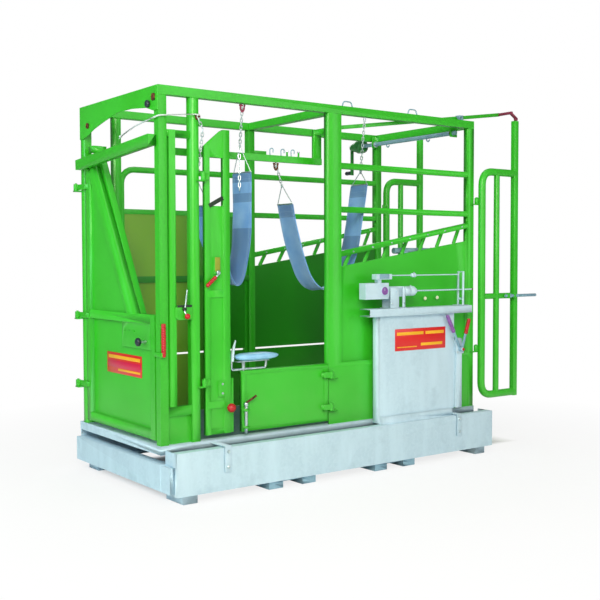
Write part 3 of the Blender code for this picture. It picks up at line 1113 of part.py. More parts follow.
def make_weigh_column():
    """Weigh column, steelyard with its poises, and the two lock levers."""
    foot_z = BEAM_TOP_Z + GAP
    body_z = foot_z + COLUMN_FOOT
    wall = 0.004
    lx, lz = LOCK_PIVOT
    face = COLUMN_Y[0] - 0.016
    cheek_y = (COLUMN_Y[0] + 0.0005, COLUMN_Y[1])
    rod_x, rod_y = PULL_ROD
    node("scale_column", "zinc", [
        box((COLUMN_X[0], COLUMN_FOOT_END), (COLUMN_Y[0] - 0.028, COLUMN_Y[1]), (foot_z, body_z)),
        box(COLUMN_X, (COLUMN_Y[0], COLUMN_Y[0] + wall), (body_z - 0.004, COLUMN_TOP_Z)),
        box((COLUMN_X[0], COLUMN_X[0] + wall), cheek_y, (body_z - 0.004, COLUMN_TOP_Z)),
        box((COLUMN_X[1] - wall, COLUMN_X[1]), cheek_y, (body_z + 0.004, COLUMN_TOP_Z)),
        box((COLUMN_X[0] + 0.002, COLUMN_X[1] - 0.002), (COLUMN_Y[0] + 0.002, COLUMN_Y[1] - 0.001),
            (COLUMN_TOP_Z - 0.006, COLUMN_TOP_Z - 0.0005)),
        box((COLUMN_TUBE_X, COLUMN_TUBE_X + COLUMN_TUBE), (face, face + COLUMN_TUBE),
            (body_z, COLUMN_TUBE_TOP)),
        box((COLUMN_X[1] - 0.02, COLUMN_TUBE_X + 0.01), (COLUMN_Y[0] + 0.0015, COLUMN_Y[0] + 0.0055),
            (body_z + 0.02, COLUMN_TUBE_TOP - 0.015)),
        box((lx - 0.036, lx + 0.036), (face - 0.006, face + 0.001), (lz - 0.030, lz + 0.034)),
        rod((lx, face - 0.004, lz), (lx, face - 0.0312, lz), LOCK_PIN_R, SMALL_SIDES),
        rod((lx, face - 0.0306, lz), (lx, face - 0.0360, lz), 0.0125, SMALL_SIDES)],
        holes=[rod((rod_x, rod_y, 0.1), (rod_x, rod_y, body_z + 0.01), 0.014, SMALL_SIDES)])
    node("scale_sign", "red", [
        box((COLUMN_X[0] + 0.125, COLUMN_X[1] - 0.083), (COLUMN_Y[0] - GAP - 0.002, COLUMN_Y[0] - GAP),
            (0.742, 0.884))])

    head_z = COLUMN_TOP_Z + GAP
    top_z = head_z + HEAD_CHANNEL_HEIGHT
    px, pz = BEAM_PIVOT
    stand_z = (top_z - 0.003, pz + 0.024)
    guide_x = (px + 0.612, px + 0.622)
    bottom = top_z - 0.003
    node("scale_head_channel", "zinc", [
        channel(HEAD_CHANNEL_X, HEAD_CHANNEL_Y, (head_z, top_z), 0.005, 1, "x"),
        box((px - 0.055, px + 0.015), (BEAM_Y - 0.042, BEAM_Y - 0.034), stand_z),
        box((px - 0.055, px + 0.015), (BEAM_Y + 0.034, BEAM_Y + 0.042), stand_z),
        box((px + 0.050, px + 0.070), (BEAM_Y - 0.042, BEAM_Y - 0.034), stand_z),
        box((px - 0.070, px + 0.080), (BEAM_Y - 0.044, BEAM_Y + 0.044), (bottom, top_z + 0.005)),
        box((px + 0.585, px + 0.650), (BEAM_Y - 0.044, BEAM_Y + 0.044), (bottom, top_z + 0.0045)),
        box(guide_x, (BEAM_Y - 0.030, BEAM_Y - 0.018), (bottom, 1.252)),
        box(guide_x, (BEAM_Y + 0.018, BEAM_Y + 0.030), (bottom, 1.252)),
        box((guide_x[0] + 0.0005, guide_x[1] - 0.0005), (BEAM_Y - 0.028, BEAM_Y + 0.028), (1.244, 1.2515)),
        box((guide_x[0] + 0.001, guide_x[1] - 0.001), (BEAM_Y - 0.028, BEAM_Y + 0.028), (1.060, 1.074))],
        holes=[rod((px, BEAM_Y - 0.05, pz), (px, BEAM_Y + 0.05, pz),
                   (BEAM_PIN_R + HINGE_CLEARANCE) / math.cos(math.pi / SMALL_SIDES), SMALL_SIDES)])
    node("steelyard_beam", "zinc", [
        box((px - 0.255, px - 0.062), (BEAM_Y - 0.032, BEAM_Y + 0.032), (1.082, 1.184)),
        box((px - 0.070, px + 0.080), (BEAM_Y - 0.018, BEAM_Y + 0.018), (1.094, 1.160)),
        rod((px + 0.060, BEAM_Y, POISE_ROD_Z), (px + 0.730, BEAM_Y, POISE_ROD_Z), POISE_ROD_R, SMALL_SIDES),
        box((px - 0.140, px - 0.110), (BEAM_Y - 0.016, BEAM_Y + 0.016), (1.178, 1.236)),
        box((px - 0.157, px - 0.028), (BEAM_Y - 0.024, BEAM_Y + 0.024), (1.206, 1.240)),
        rod((px - 0.040, BEAM_Y, TARE_ROD_Z), (px + 0.596, BEAM_Y, TARE_ROD_Z), TARE_ROD_R, 8),
        rod((px + 0.592, BEAM_Y, TARE_ROD_Z + 0.002), (px + 0.592, BEAM_Y, POISE_ROD_Z), 0.003, 8),
        rod((px - 0.104, BEAM_Y - 0.030, 1.134), (px - 0.104, BEAM_Y - 0.040, 1.134), 0.026, 14),
        rod((px, BEAM_Y - 0.046, pz), (px, BEAM_Y + 0.046, pz), BEAM_PIN_R, SMALL_SIDES)],
        pivot=(px, BEAM_Y, pz))
    for name, xs, radius, bore_r, z, sides in (
            ("main_poise", (px + 0.088, px + 0.198), 0.032, POISE_ROD_R, POISE_ROD_Z, SMALL_SIDES),
            ("tare_poise", (px + 0.160, px + 0.202), 0.014, TARE_ROD_R, TARE_ROD_Z, 8)):
        mid = (xs[0] + xs[1]) / 2
        long = xs[1] - xs[0]
        node(name, "steel", [
            turned((xs[0], BEAM_Y, z), (1, 0, 0),
                   ((0, radius * 0.72), (long * 0.12, radius), (long * 0.80, radius),
                    (long * 0.84, radius * 0.66), (long, radius * 0.60)), 14)],
            holes=[rod((xs[0] - 0.01, BEAM_Y, z), (xs[1] + 0.01, BEAM_Y, z),
                       bore_r + SLIDE_CLEARANCE, sides)],
            pivot=(mid, BEAM_Y, z))

    for name, finish, low_y, reach in (("lock_lever_left", "grip", face - 0.0063, LEFT_LEVER_REACH),
                                       ("lock_lever_right", "red", face - 0.0193, RIGHT_LEVER_REACH)):
        way = Vector((reach[0], 0, reach[1]))
        start = Vector((lx, low_y - 0.005, lz))
        length = way.length
        node(name, finish, [
            rod((lx, low_y, lz), (lx, low_y - 0.011, lz), 0.016, 12),
            flat_between(start, start + way * 0.6, 0.018, 0.008, (0, 1, 0)),
            turned(start + way * 0.50, way,
                   ((0, 0.010), (0.006, 0.013), (length * 0.46, 0.013), (length * 0.50, 0.008)), 10)],
            holes=[rod((lx, low_y + 0.02, lz), (lx, low_y - 0.03, lz),
                       (LOCK_PIN_R + HINGE_CLEARANCE) / math.cos(math.pi / SMALL_SIDES), SMALL_SIDES)],
            pivot=(lx, low_y, lz))

    bar_x = FRAME_LENGTH - 0.680
    y = NEAR + 0.075
    sheet_y = NEAR + POST / 2 + 0.010 + SHEET / 2 + GAP
    leg_bar = [rod((bar_x, y, 1.390), (bar_x + 0.348, y, 1.390), 0.020, ROUND_SIDES),
               turned((bar_x + 0.342, y, 1.390), (1, 0, 0),
                      ((0, 0.0215), (0.026, 0.0215), (0.032, 0.016)), 14)]
    for x in (bar_x + 0.080, bar_x + 0.280):
        leg_bar.append(box((x - 0.015, x + 0.015), (sheet_y, y + 0.002), (1.320, 1.386)))
    node("leg_bar", "steel", leg_bar)


make_base()
make_platform()
make_posts()
make_rear_bays()
make_far_front_bay()
make_near_front_bay()
make_head_gate()
make_wing_gate()
make_side_door()
make_rear_gates()
make_overhead()
make_weigh_column()
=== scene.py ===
"""Studio scene of a cattle crush: green enamelled frame on a galvanised weighing base."""

import logging
import math
from dataclasses import dataclass
from enum import Enum
from functools import lru_cache
from typing import Callable, ClassVar, Iterable, Optional, Sequence

import bpy
from mathutils import Matrix, Vector


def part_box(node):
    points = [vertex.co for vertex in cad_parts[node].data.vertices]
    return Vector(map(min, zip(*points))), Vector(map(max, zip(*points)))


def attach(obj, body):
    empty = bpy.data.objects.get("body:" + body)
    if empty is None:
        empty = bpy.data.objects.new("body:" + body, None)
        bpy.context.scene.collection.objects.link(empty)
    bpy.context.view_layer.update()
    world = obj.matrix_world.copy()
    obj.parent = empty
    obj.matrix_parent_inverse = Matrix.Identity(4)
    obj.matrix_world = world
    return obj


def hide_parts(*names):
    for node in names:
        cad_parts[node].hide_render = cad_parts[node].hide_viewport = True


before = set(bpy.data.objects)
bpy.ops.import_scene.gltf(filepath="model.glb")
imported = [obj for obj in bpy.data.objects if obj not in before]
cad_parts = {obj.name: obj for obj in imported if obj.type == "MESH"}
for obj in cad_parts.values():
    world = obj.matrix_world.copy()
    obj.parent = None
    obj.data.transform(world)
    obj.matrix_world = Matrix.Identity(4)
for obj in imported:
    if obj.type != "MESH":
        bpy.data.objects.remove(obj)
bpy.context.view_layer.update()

LOG = logging.getLogger("cattle_crush")
PLAN = Vector((1.4975, 0.0615, 0.0))   # middle of the crush's plan, where the model's origin lies
NEAR = -0.510                          # outer face of the near side
FAR = 0.510
POST = 0.050
DECK_Z = 0.307
TOP_Z = 2.287
LENGTH = 2.460
NEAR_STILE = 2.852                     # middle of the near leaf's square stile
OUT = (0, -1, 0)                       # away from the near side
IN = (0, 1, 0)
UP = (0, 0, 1)
REARWARD = (1, 0, 0)
FORWARD = (-1, 0, 0)
Point = Sequence[float]
Pairs = Sequence[tuple[float, float]]
Seams = Sequence[tuple[Point, Point]]
Piece = bpy.types.Object
Socket = bpy.types.NodeSocket


# ---- workbench

# easing of edges: faces flatter to each other than this, as a cosine, keep their edge as it is;
# an easing takes this share of the room beside it, and where less than the last share fits, none
FLAT_COSINE = 0.62
ROOM_SHARE = 0.40
LEAST_SHARE = 0.08
ROUND_CORNER = math.radians(60)        # corners sharper than this are eased on round pieces
FLAT_TURN = math.radians(0.6)          # a CAD node's faces that turn less than this become one
SAME_POINT = 2e-5                      # its points closer than this are one
MOST_GROWTH = 0.0005                   # an easing that makes it stick out more than this is redone


def at(point: Point) -> Vector:
    """Turn a place measured from the front, the middle line and the ground into one in the scene."""
    return Vector(point) - PLAN


def mm(*sizes: float) -> Pairs:
    """Pairs in metres, such as a lathe's distances and radii, from a row of millimetres."""
    metres = [size / 1000 for size in sizes]
    return list(zip(metres[::2], metres[1::2]))


def only(*objs: Piece) -> None:
    """Select these objects and nothing else, the last one active."""
    bpy.ops.object.select_all(action="DESELECT")
    for obj in objs:
        obj.select_set(True)
    if objs:
        bpy.context.view_layer.objects.active = objs[-1]


def fresh(name: str, obj: Optional[Piece] = None) -> Piece:
    """Name a piece, or the primitive just added, and press its place into its mesh."""
    obj = obj or bpy.context.object
    obj.name = name
    obj.data.name = name
    only(obj)
    bpy.ops.object.transform_apply(location=True, rotation=True, scale=True)
    return obj


def modify(obj: Piece, kind: str, **settings: object) -> Piece:
    """Add one modifier to a piece, set it by name and apply it."""
    only(obj)
    bpy.ops.object.modifier_add(type=kind)
    modifier = obj.modifiers[-1]
    for key, value in settings.items():
        setattr(modifier, key, value)
    bpy.ops.object.modifier_apply(modifier=modifier.name)
    return obj


def edit(obj: Piece, *steps: Callable[[], object]) -> Piece:
    """Run mesh operators, one after another, on all of a piece."""
    only(obj)
    bpy.ops.object.mode_set(mode="EDIT")
    bpy.ops.mesh.select_all(action="SELECT")
    for step in steps:
        step()
    bpy.ops.object.mode_set(mode="OBJECT")
    return obj


def face_outwards() -> None:
    """Operator for edit(): turn all faces of a closed piece outwards."""
    bpy.ops.mesh.normals_make_consistent(inside=False)


def merge(distance: float) -> Callable[[], object]:
    """Operator for edit(): merge points closer than a distance."""
    return lambda: bpy.ops.mesh.remove_doubles(threshold=distance)


def smooth(obj: Piece, angle: float = 50.0) -> Piece:
    """Shade a piece smooth, apart from edges sharper than the angle in degrees."""
    only(obj)
    bpy.ops.object.shade_smooth_by_angle(angle=math.radians(angle))
    return obj


def joined(name: str, parts: Iterable[Piece]) -> Piece:
    """Join several meshes into one named piece with its place in its mesh."""
    parts = list(parts)
    only(*parts)
    if len(parts) > 1:
        bpy.ops.object.join()
    return fresh(name, bpy.context.view_layer.objects.active)


def stamped(pattern: Piece, places: Iterable[Matrix]) -> list[Piece]:
    """Copy a pattern modelled about the origin to each place and drop the pattern."""
    copies = []
    for place in places:
        copy = pattern.copy()
        copy.data = pattern.data.copy()
        bpy.context.scene.collection.objects.link(copy)
        copy.matrix_world = place
        copies.append(copy)
    bpy.data.objects.remove(pattern)
    return copies


def facing(place: Point, way: Point, spin: float = 0.0) -> Matrix:
    """Matrix that stands a pattern's +Z axis along a way, spun about it by some degrees."""
    turn = Vector(way).to_track_quat("Z", "Y").to_matrix().to_4x4()
    return Matrix.Translation(place) @ turn @ Matrix.Rotation(math.radians(spin), 4, "Z")


def block(name: str, low: Point, high: Point, edge: float = 0.0015, segments: int = 2) -> Piece:
    """A flat bar or plate between two corners, measured as for at(), with eased edges."""
    low, high = at(low), at(high)
    only()
    bpy.ops.mesh.primitive_cube_add(size=1, location=(low + high) / 2, scale=high - low)
    return modify(fresh(name), "BEVEL", width=edge, segments=segments)


def flat_bar(name: str, start: Point, end: Point, width: float, depth: float,
             edge: float = 0.0015) -> Piece:
    """A flat bar between the middles of its ends, measured as for at(), its depth across the crush."""
    start, end, deep = at(start), at(end), Vector(IN)
    way = (end - start).normalized()
    only()
    bpy.ops.mesh.primitive_cube_add(size=1)
    turn = Matrix((way.cross(deep).normalized(), deep, way)).transposed().to_4x4()
    size = Matrix.Diagonal((width, depth, (end - start).length, 1))
    bpy.context.object.matrix_world = Matrix.Translation((start + end) / 2) @ turn @ size
    return modify(edit(fresh(name), face_outwards), "BEVEL", width=edge, segments=2)


def barrel(name: str, start: Point, end: Point, radius: float, sides: int = 24,
           edge: float = 0.0008) -> Piece:
    """A round bar between the middles of its ends, measured as for at(), with eased ends."""
    start, end = at(start), at(end)
    only()
    bpy.ops.mesh.primitive_cylinder_add(vertices=sides, radius=radius, depth=(end - start).length)
    bpy.context.object.matrix_world = facing((start + end) / 2, end - start)
    return modify(fresh(name), "BEVEL", width=edge, segments=2, limit_method="ANGLE",
                  angle_limit=ROUND_CORNER)


def turned(name: str, start: Point, way: Point, profile: Pairs, sides: int = 32) -> Piece:
    """A piece turned on a lathe: a disc drawn out and widened step by step.

    Args:
        name: the piece's name.
        start: where its axis starts, measured as for at().
        way: where its axis points.
        profile: pairs of distance along the axis and radius there.
        sides: faces round it.

    Returns:
        The piece.
    """
    only()
    bpy.ops.mesh.primitive_circle_add(vertices=sides, radius=profile[0][1], fill_type="NGON")
    obj = bpy.context.object

    def draw_out() -> None:
        """Operator for edit(): pull the disc along the profile."""
        for (here, radius), (there, next_radius) in zip(profile, profile[1:]):
            bpy.ops.mesh.extrude_region_move(TRANSFORM_OT_translate={"value": (0, 0, there - here)})
            share = max(next_radius, 1e-4) / max(radius, 1e-4)
            bpy.ops.transform.resize(value=(share, share, 1), center_override=(0, 0, there))

    edit(obj, draw_out)
    obj.matrix_world = facing(at(start), way)
    return edit(fresh(name), face_outwards)


def ball(name: str, start: Point, radius: float, steps: int, sides: int, squash: float = 1.0,
         squashed: int = 0) -> Piece:
    """A ball knob turned from its outer pole; the last squashed steps reach only a share as far."""
    profile = []
    for k in range(steps + 1):
        reach = radius * math.cos(math.pi * k / steps) * (squash if k > steps - squashed else 1.0)
        profile.append((radius - reach, radius * math.sin(math.pi * k / steps) + 1e-4))
    return turned(name, start, IN, profile, sides)


def ribbed(first: Pairs, low: float, pitch: float, count: int, shape: Pairs, last: Pairs) -> Pairs:
    """Lathe profile of a grip: some ribs of one shape, a pitch apart, from low on, and both ends."""
    return [*first, *((low + pitch * k + d, r) for k in range(count) for d, r in shape), *last]


def hoop(name: str, centre: Point, way: Point, radius: float, wire: float,
         stretch: float = 0.0, faces: tuple[int, int] = (24, 8)) -> Piece:
    """A wire ring, drawn out to an oval link where it has a stretch.

    Args:
        name: the piece's name.
        centre: its middle, measured as for at().
        way: the way square to the ring.
        radius: radius of the wire's middle line.
        wire: radius of the wire.
        stretch: how far its halves are drawn apart.
        faces: faces round the ring and round the wire.

    Returns:
        The piece.
    """
    only()
    bpy.ops.mesh.primitive_torus_add(major_radius=radius, minor_radius=wire,
                                     major_segments=faces[0], minor_segments=faces[1])
    obj = bpy.context.object
    for vertex in obj.data.vertices:
        vertex.co.y += math.copysign(stretch / 2, vertex.co.y)
    obj.matrix_world = facing(at(centre), way)
    return fresh(name)


def rounded(points: Sequence[Point], bend: float, steps: int = 8) -> list[Vector]:
    """Round a line's corners: each bend starts a length before its corner and takes some steps."""
    line = [Vector(p) for p in points]
    path = [line[0]]
    for a, b, c in zip(line, line[1:], line[2:]):
        back, on = (a - b).normalized() * bend, (c - b).normalized() * bend
        path += [b + back * (1 - k / steps) ** 2 + on * (k / steps) ** 2 for k in range(steps + 1)]
    return path + [line[-1]]


def flowing(points: Sequence[Point], steps: int) -> list[Vector]:
    """A smooth line through points, with some steps from each to the next."""
    row = [Vector(p) for p in points]
    row = [2 * row[0] - row[1]] + row + [2 * row[-1] - row[-2]]
    path = []
    for a, b, c, d in zip(row, row[1:], row[2:], row[3:]):
        for t in (k / steps for k in range(steps)):
            path.append(0.5 * ((2 * b) + (c - a) * t + (2 * a - 5 * b + 4 * c - d) * t ** 2
                               + (3 * b - a - 3 * c + d) * t ** 3))
    return path + [row[-2]]


def along(path: Sequence[Vector], distance: float) -> tuple[Vector, Vector]:
    """Find the place and the unit way at a distance along a line."""
    for a, b in zip(path, path[1:]):
        span = (b - a).length
        if distance <= span or b is path[-1]:
            return a.lerp(b, min(max(distance / span, 0.0), 1.0)), (b - a).normalized()
        distance -= span
    return path[-1], (path[-1] - path[-2]).normalized()


def length_of(path: Sequence[Vector]) -> float:
    """Length of a line."""
    return sum((b - a).length for a, b in zip(path, path[1:]))


def pipe(name: str, path: Sequence[Point], radius: float, roundness: int = 6,
         profile: Optional[Piece] = None, twist: float = 0.0) -> Piece:
    """A tube or rod bent along a line.

    Args:
        name: the piece's name.
        path: its middle line, measured as for at().
        radius: its radius.
        roundness: faces on each quarter of it.
        profile: a flat curve drawn along it instead of a circle.
        twist: turns about its line for each metre.

    Returns:
        The piece, as a mesh with its ends closed.
    """
    places = [at(p) for p in path]
    curve = bpy.data.curves.new(name, "CURVE")
    curve.dimensions = "3D"
    curve.use_fill_caps = True
    spline = curve.splines.new("POLY")
    spline.points.add(len(places) - 1)
    run = 0.0
    for k, place in enumerate(places):
        run += (place - places[k - 1]).length if k else 0.0
        spline.points[k].co = (*place, 1)
        spline.points[k].tilt = 2 * math.pi * twist * run
    if profile:
        curve.bevel_mode = "OBJECT"
        curve.bevel_object = profile
    else:
        curve.bevel_depth = radius
        curve.bevel_resolution = roundness
    obj = bpy.data.objects.new(name, curve)
    bpy.context.scene.collection.objects.link(obj)
    only(obj)
    bpy.ops.object.convert(target="MESH")
    return edit(bpy.context.object, merge(1e-5), face_outwards)


def ease_weights(obj: Piece, width: float) -> None:
    """Mark the outer edges that can be eased, each by as much as its faces have room for.

    Args:
        obj: a closed mesh of flat faces.
        width: the full size of the easing.
    """
    mesh = obj.data
    beside: dict[tuple[int, int], list[int]] = {}
    for face in mesh.polygons:
        for key in face.edge_keys:
            beside.setdefault(key, []).append(face.index)
    weights = mesh.attributes.new("bevel_weight_edge", "FLOAT", "EDGE")
    for edge in mesh.edges:
        pair = beside.get(tuple(sorted(edge.vertices)), [])
        if len(pair) != 2:
            continue
        one, two = (mesh.polygons[k] for k in pair)
        # nearly flat edges and inner corners stay as they are
        inner = (two.center - one.center).dot(one.normal) > -1e-5
        if inner or one.normal.dot(two.normal) > FLAT_COSINE:
            continue
        start = mesh.vertices[edge.vertices[0]].co
        way = (mesh.vertices[edge.vertices[1]].co - start).normalized()
        room = 1.0
        for index in (*one.vertices, *two.vertices):
            off = mesh.vertices[index].co - start
            aside = (off - way * off.dot(way)).length
            # points on the edge's own line say nothing about the room beside it
            if aside > 2e-4:
                room = min(room, aside)
        share = min(1.0, ROOM_SHARE * room / width)
        weights.data[edge.index].value = share if share > LEAST_SHARE else 0.0


def torn(mesh: bpy.types.Mesh) -> bool:
    """Whether a face's triangles don't cover the face, as where it runs round a hole."""
    mesh.calc_loop_triangles()
    covered = [0.0] * len(mesh.polygons)
    for triangle in mesh.loop_triangles:
        covered[triangle.polygon_index] += triangle.area
    # two percent of a face and 2 mm2 are left to rounding
    return any(abs(covered[face.index] - face.area) > 0.02 * face.area + 2e-6
               for face in mesh.polygons)


def skin(node: str, width: float = 0.003, segments: int = 3) -> Piece:
    """A copy of a CAD node as its rolled or machined stock is: with eased edges.

    Args:
        node: the CAD node's name.
        width: the size of the easing, where there is room for it.
        segments: faces across each eased edge.

    Returns:
        The copy, at the origin.
    """
    low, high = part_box(node)
    for size, flatten in ((width, True), (width, False), (width * 0.4, False), (0.0, False)):
        obj = bpy.data.objects.new(node + "_skin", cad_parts[node].data.copy())
        bpy.context.scene.collection.objects.link(obj)
        obj.data.materials.clear()
        steps = [merge(SAME_POINT)]
        if flatten:
            steps.append(lambda: bpy.ops.mesh.dissolve_limited(angle_limit=FLAT_TURN))
        edit(obj, *steps)
        if size:
            ease_weights(obj, size)
            modify(obj, "BEVEL", width=size, segments=segments, limit_method="WEIGHT",
                   use_clamp_overlap=False, loop_slide=True)
        places = [vertex.co for vertex in obj.data.vertices]
        grown = max(max(low[k] - min(p[k] for p in places), max(p[k] for p in places) - high[k])
                    for k in range(3))
        if not size or (grown < MOST_GROWTH and not torn(obj.data)):
            break
        bpy.data.objects.remove(obj)
    return modify(smooth(obj), "WEIGHTED_NORMAL", keep_sharp=True)


# ---- finishes

def shade(code: str, dim: float = 1.0) -> tuple[float, float, float, float]:
    """Turn an sRGB hex colour into the linear one that a shader takes, dimmed by a share."""
    parts = [int(code[k:k + 2], 16) / 255 for k in (1, 3, 5)]
    line = [p / 12.92 if p <= 0.04045 else ((p + 0.055) / 1.055) ** 2.4 for p in parts]
    return (*(value * dim for value in line), 1.0)


class Recipe:
    """A node tree while its nodes are laid down."""

    def __init__(self, owner: object) -> None:
        """Start on a material's or a world's tree."""
        owner.use_nodes = True
        self.tree = owner.node_tree

    def feed(self, socket: Socket, value: object) -> None:
        """Link a socket into an input, or set the input to a colour or a plain value."""
        if isinstance(value, Socket):
            self.tree.links.new(value, socket)
        else:
            socket.default_value = shade(value) if isinstance(value, str) else value

    def add(self, kind: str, settings: Optional[dict] = None) -> bpy.types.Node:
        """Add a shader node, with its settings, values and links by name or index of input."""
        node = self.tree.nodes.new("ShaderNode" + kind)
        for key, value in (settings or {}).items():
            if isinstance(key, str) and hasattr(node, key):
                setattr(node, key, value)
            else:
                self.feed(node.inputs[key], value)
        return node

    def reckon(self, operation: str, *terms: object, kind: str = "Math") -> Socket:
        """Combine sockets or plain values by one operation."""
        return self.add(kind, {"operation": operation, **dict(enumerate(terms))}).outputs[0]

    def ramp(self, value: Socket, low: float, high: float, start: float = 0.0,
             end: float = 1.0) -> Socket:
        """Draw a value's range out to another one."""
        return self.add("MapRange", {"Value": value, "From Min": low, "From Max": high,
                                     "To Min": start, "To Max": end}).outputs[0]

    def mix(self, share: Socket, first: object, second: object, low: float = 0.0,
            high: float = 1.0) -> Socket:
        """Mix two colours by a pattern, between two of its values."""
        return self.add("Mix", {"data_type": "RGBA", 0: self.ramp(share, low, high), 6: first,
                                7: second}).outputs[2]


class Surface(Recipe):
    """A material on its way from its first pattern to its closing shine."""

    def __init__(self, name: str, laid_on: str = "Object") -> None:
        """Start the material with its shader and the coordinates of its patterns."""
        self.material = bpy.data.materials.new(name)
        super().__init__(self.material)
        self.shader = self.tree.nodes["Principled BSDF"]
        self.place = self.add("TexCoord").outputs[laid_on]

    def noise(self, size: float, detail: float = 3.0, stretch: Point = (1, 1, 1)) -> Socket:
        """Cloudy pattern whose patches are about this many metres across."""
        laid = self.add("Mapping", {"Scale": Vector(stretch) / size, "Vector": self.place})
        return self.add("TexNoise", {"Scale": 1.0, "Detail": detail,
                                     "Vector": laid.outputs[0]}).outputs["Fac"]

    def cells(self, size: float, turn: float = 0.0, **settings: object) -> bpy.types.Node:
        """Pattern of cells about this many metres across, laid at an angle in degrees."""
        laid = self.add("Mapping", {"Scale": Vector((1, 1, 1)) / size, "Vector": self.place,
                                    "Rotation": (0, 0, math.radians(turn))})
        return self.add("TexVoronoi", {"Scale": 1.0, "Vector": laid.outputs[0], **settings})

    def close(self, tone: Socket, cloud: Socket, roughness: tuple[float, float], height: Socket,
              depth: float) -> None:
        """Give the shader its colour, a roughness that wanders with a cloud, and a raised surface."""
        middle, spread = roughness
        bump = self.add("Bump", {"Distance": depth, "Strength": 1.0, "Height": height})
        for name, value in (("Base Color", tone), ("Normal", bump.outputs[0]),
                            ("Roughness", self.ramp(cloud, 0.0, 1.0, middle - spread, middle + spread))):
            self.feed(self.shader.inputs[name], value)


@dataclass(frozen=True)
class Finish:
    """A surface finish: what its colours are and how it shines."""

    laid_on: ClassVar[str] = "Object"
    name: str
    colour: str
    second: str
    roughness: float
    metallic: float = 0.0
    coat: float = 0.0

    @lru_cache(maxsize=None)
    def material(self) -> bpy.types.Material:
        """The finish's material, built when it is first asked for."""
        surface = Surface(self.name, self.laid_on)
        for socket, value in (("Metallic", self.metallic), ("Coat Weight", self.coat),
                              ("Coat Roughness", 0.08)):
            surface.shader.inputs[socket].default_value = value
        self.lay(surface)
        return surface.material

    def lay(self, s: Surface) -> None:
        """Lay the finish's patterns on a surface."""
        raise NotImplementedError


@dataclass(frozen=True)
class Enamel(Finish):
    """Gloss enamel sprayed on steel: even and bright, with a soft orange peel and light dust.

    The eye sees broad soft highlights that ripple a little, a paler skim of dust low down
    and worn, darker spots on the corners.
    """

    wear: float = 0.35
    # where the first pair of colours gives way along x to painted shade, and the colour of that painted shade
    turn: tuple[float, float] = (0.0, 0.0)
    painted_shade_colour: str = ""

    def lay(self, s: Surface) -> None:
        """Lay the finish's patterns on a surface."""
        tone = s.mix(s.noise(0.45, 2.0), self.colour, self.second, 0.30, 0.72)
        x, _, height = s.add("SeparateXYZ", {0: s.place}).outputs
        # painted shade: along x the colour gives way to the darker painted shade colour
        if self.painted_shade_colour:
            tone = s.mix(x, tone, self.painted_shade_colour, *self.turn)
        # dust lies low on the frame, in patches of a hand's width
        patch = s.noise(0.09, 5.0)
        dusty = s.reckon("MULTIPLY", s.ramp(height, 0.75, 0.30, 0.0, 0.10), patch)
        tone = s.mix(dusty, tone, "#B9C79A")
        # corners rubbed by ropes and hands
        corner = s.add("NewGeometry").outputs["Pointiness"]
        worn = s.reckon("MULTIPLY", s.ramp(corner, 0.53, 0.60, 0.0, self.wear), s.noise(0.016))
        tone = s.mix(worn, tone, shade(self.colour, 0.45))
        # orange peel is about 3 mm across; it is drawn at 7 mm, so that it shows
        s.close(tone, patch, (self.roughness, 0.07), s.noise(0.007, 1.0), 0.00018)


@dataclass(frozen=True)
class HotDipZinc(Finish):
    """Hot-dip galvanised steel: pale crystals of zinc, cloudy drain marks and a dull shine."""

    crystal: float = 0.016
    tread: float = 0.0

    def lay(self, s: Surface) -> None:
        """Lay the finish's patterns on a surface."""
        # real crystals are 5 to 15 mm across; these are drawn at 16 mm, or at 10 mm on dull steel
        facet = s.add("RGBToBW", {0: s.cells(self.crystal).outputs["Color"]}).outputs[0]
        tone = s.mix(facet, self.second, self.colour, -0.55, 1.0)
        drain = s.noise(0.30, 4.0, (3.0, 3.0, 0.6))
        tone = s.mix(drain, tone, shade(self.colour, 1.06), 0.42, 0.70)
        tone = s.mix(s.noise(0.14, 6.0), shade(self.second, 0.90), tone, 0.18, 0.42)
        if self.tread:
            # raised lozenges of the floor plate stand in crossed rows
            rows = s.cells(self.tread, 45, Randomness=0.0, distance="CHEBYCHEV").outputs["Distance"]
            height, depth = s.ramp(rows, 0.36, 0.22), 0.0012
        else:
            height, depth = s.noise(0.010, 2.0), 0.0002
        s.close(tone, facet, (self.roughness, 0.09), height, depth)


@dataclass(frozen=True)
class PlatedSteel(Finish):
    """Zinc-plated or bare steel bar: bright, with fine drawing lines and dull finger marks."""

    def lay(self, s: Surface) -> None:
        """Lay the finish's patterns on a surface."""
        marks = s.noise(0.030, 5.0)
        # drawing lines are finer than 0.5 mm; they are drawn 1.5 mm apart, so that they show
        s.close(s.mix(marks, self.second, self.colour, 0.28, 0.62), marks, (self.roughness, 0.08),
                s.noise(0.0015, 1.0, (0.05, 1, 1)), 0.00006)


@dataclass(frozen=True)
class RustyIron(Finish):
    """Forged iron with brown rust: rough, blotched and pitted, with hardly any shine."""

    def lay(self, s: Surface) -> None:
        """Lay the finish's patterns on a surface."""
        blotch = s.noise(0.012, 6.0)
        s.close(s.mix(blotch, self.colour, self.second, 0.36, 0.62), blotch, (self.roughness, 0.10),
                s.noise(0.003, 5.0), 0.0005)


@dataclass(frozen=True)
class Moulding(Finish):
    """Moulded plastic or rubber: one deep colour, a fine leather grain and a soft sheen."""

    grain: float = 0.0022

    def lay(self, s: Surface) -> None:
        """Lay the finish's patterns on a surface."""
        cloud = s.noise(0.05)
        # the grain is about 1 mm; it is drawn at twice that, so that it shows
        grain = s.cells(self.grain, feature="SMOOTH_F1").outputs["Distance"]
        s.close(s.mix(cloud, self.colour, self.second, 0.30, 0.75), cloud, (self.roughness, 0.06),
                grain, 0.00025)


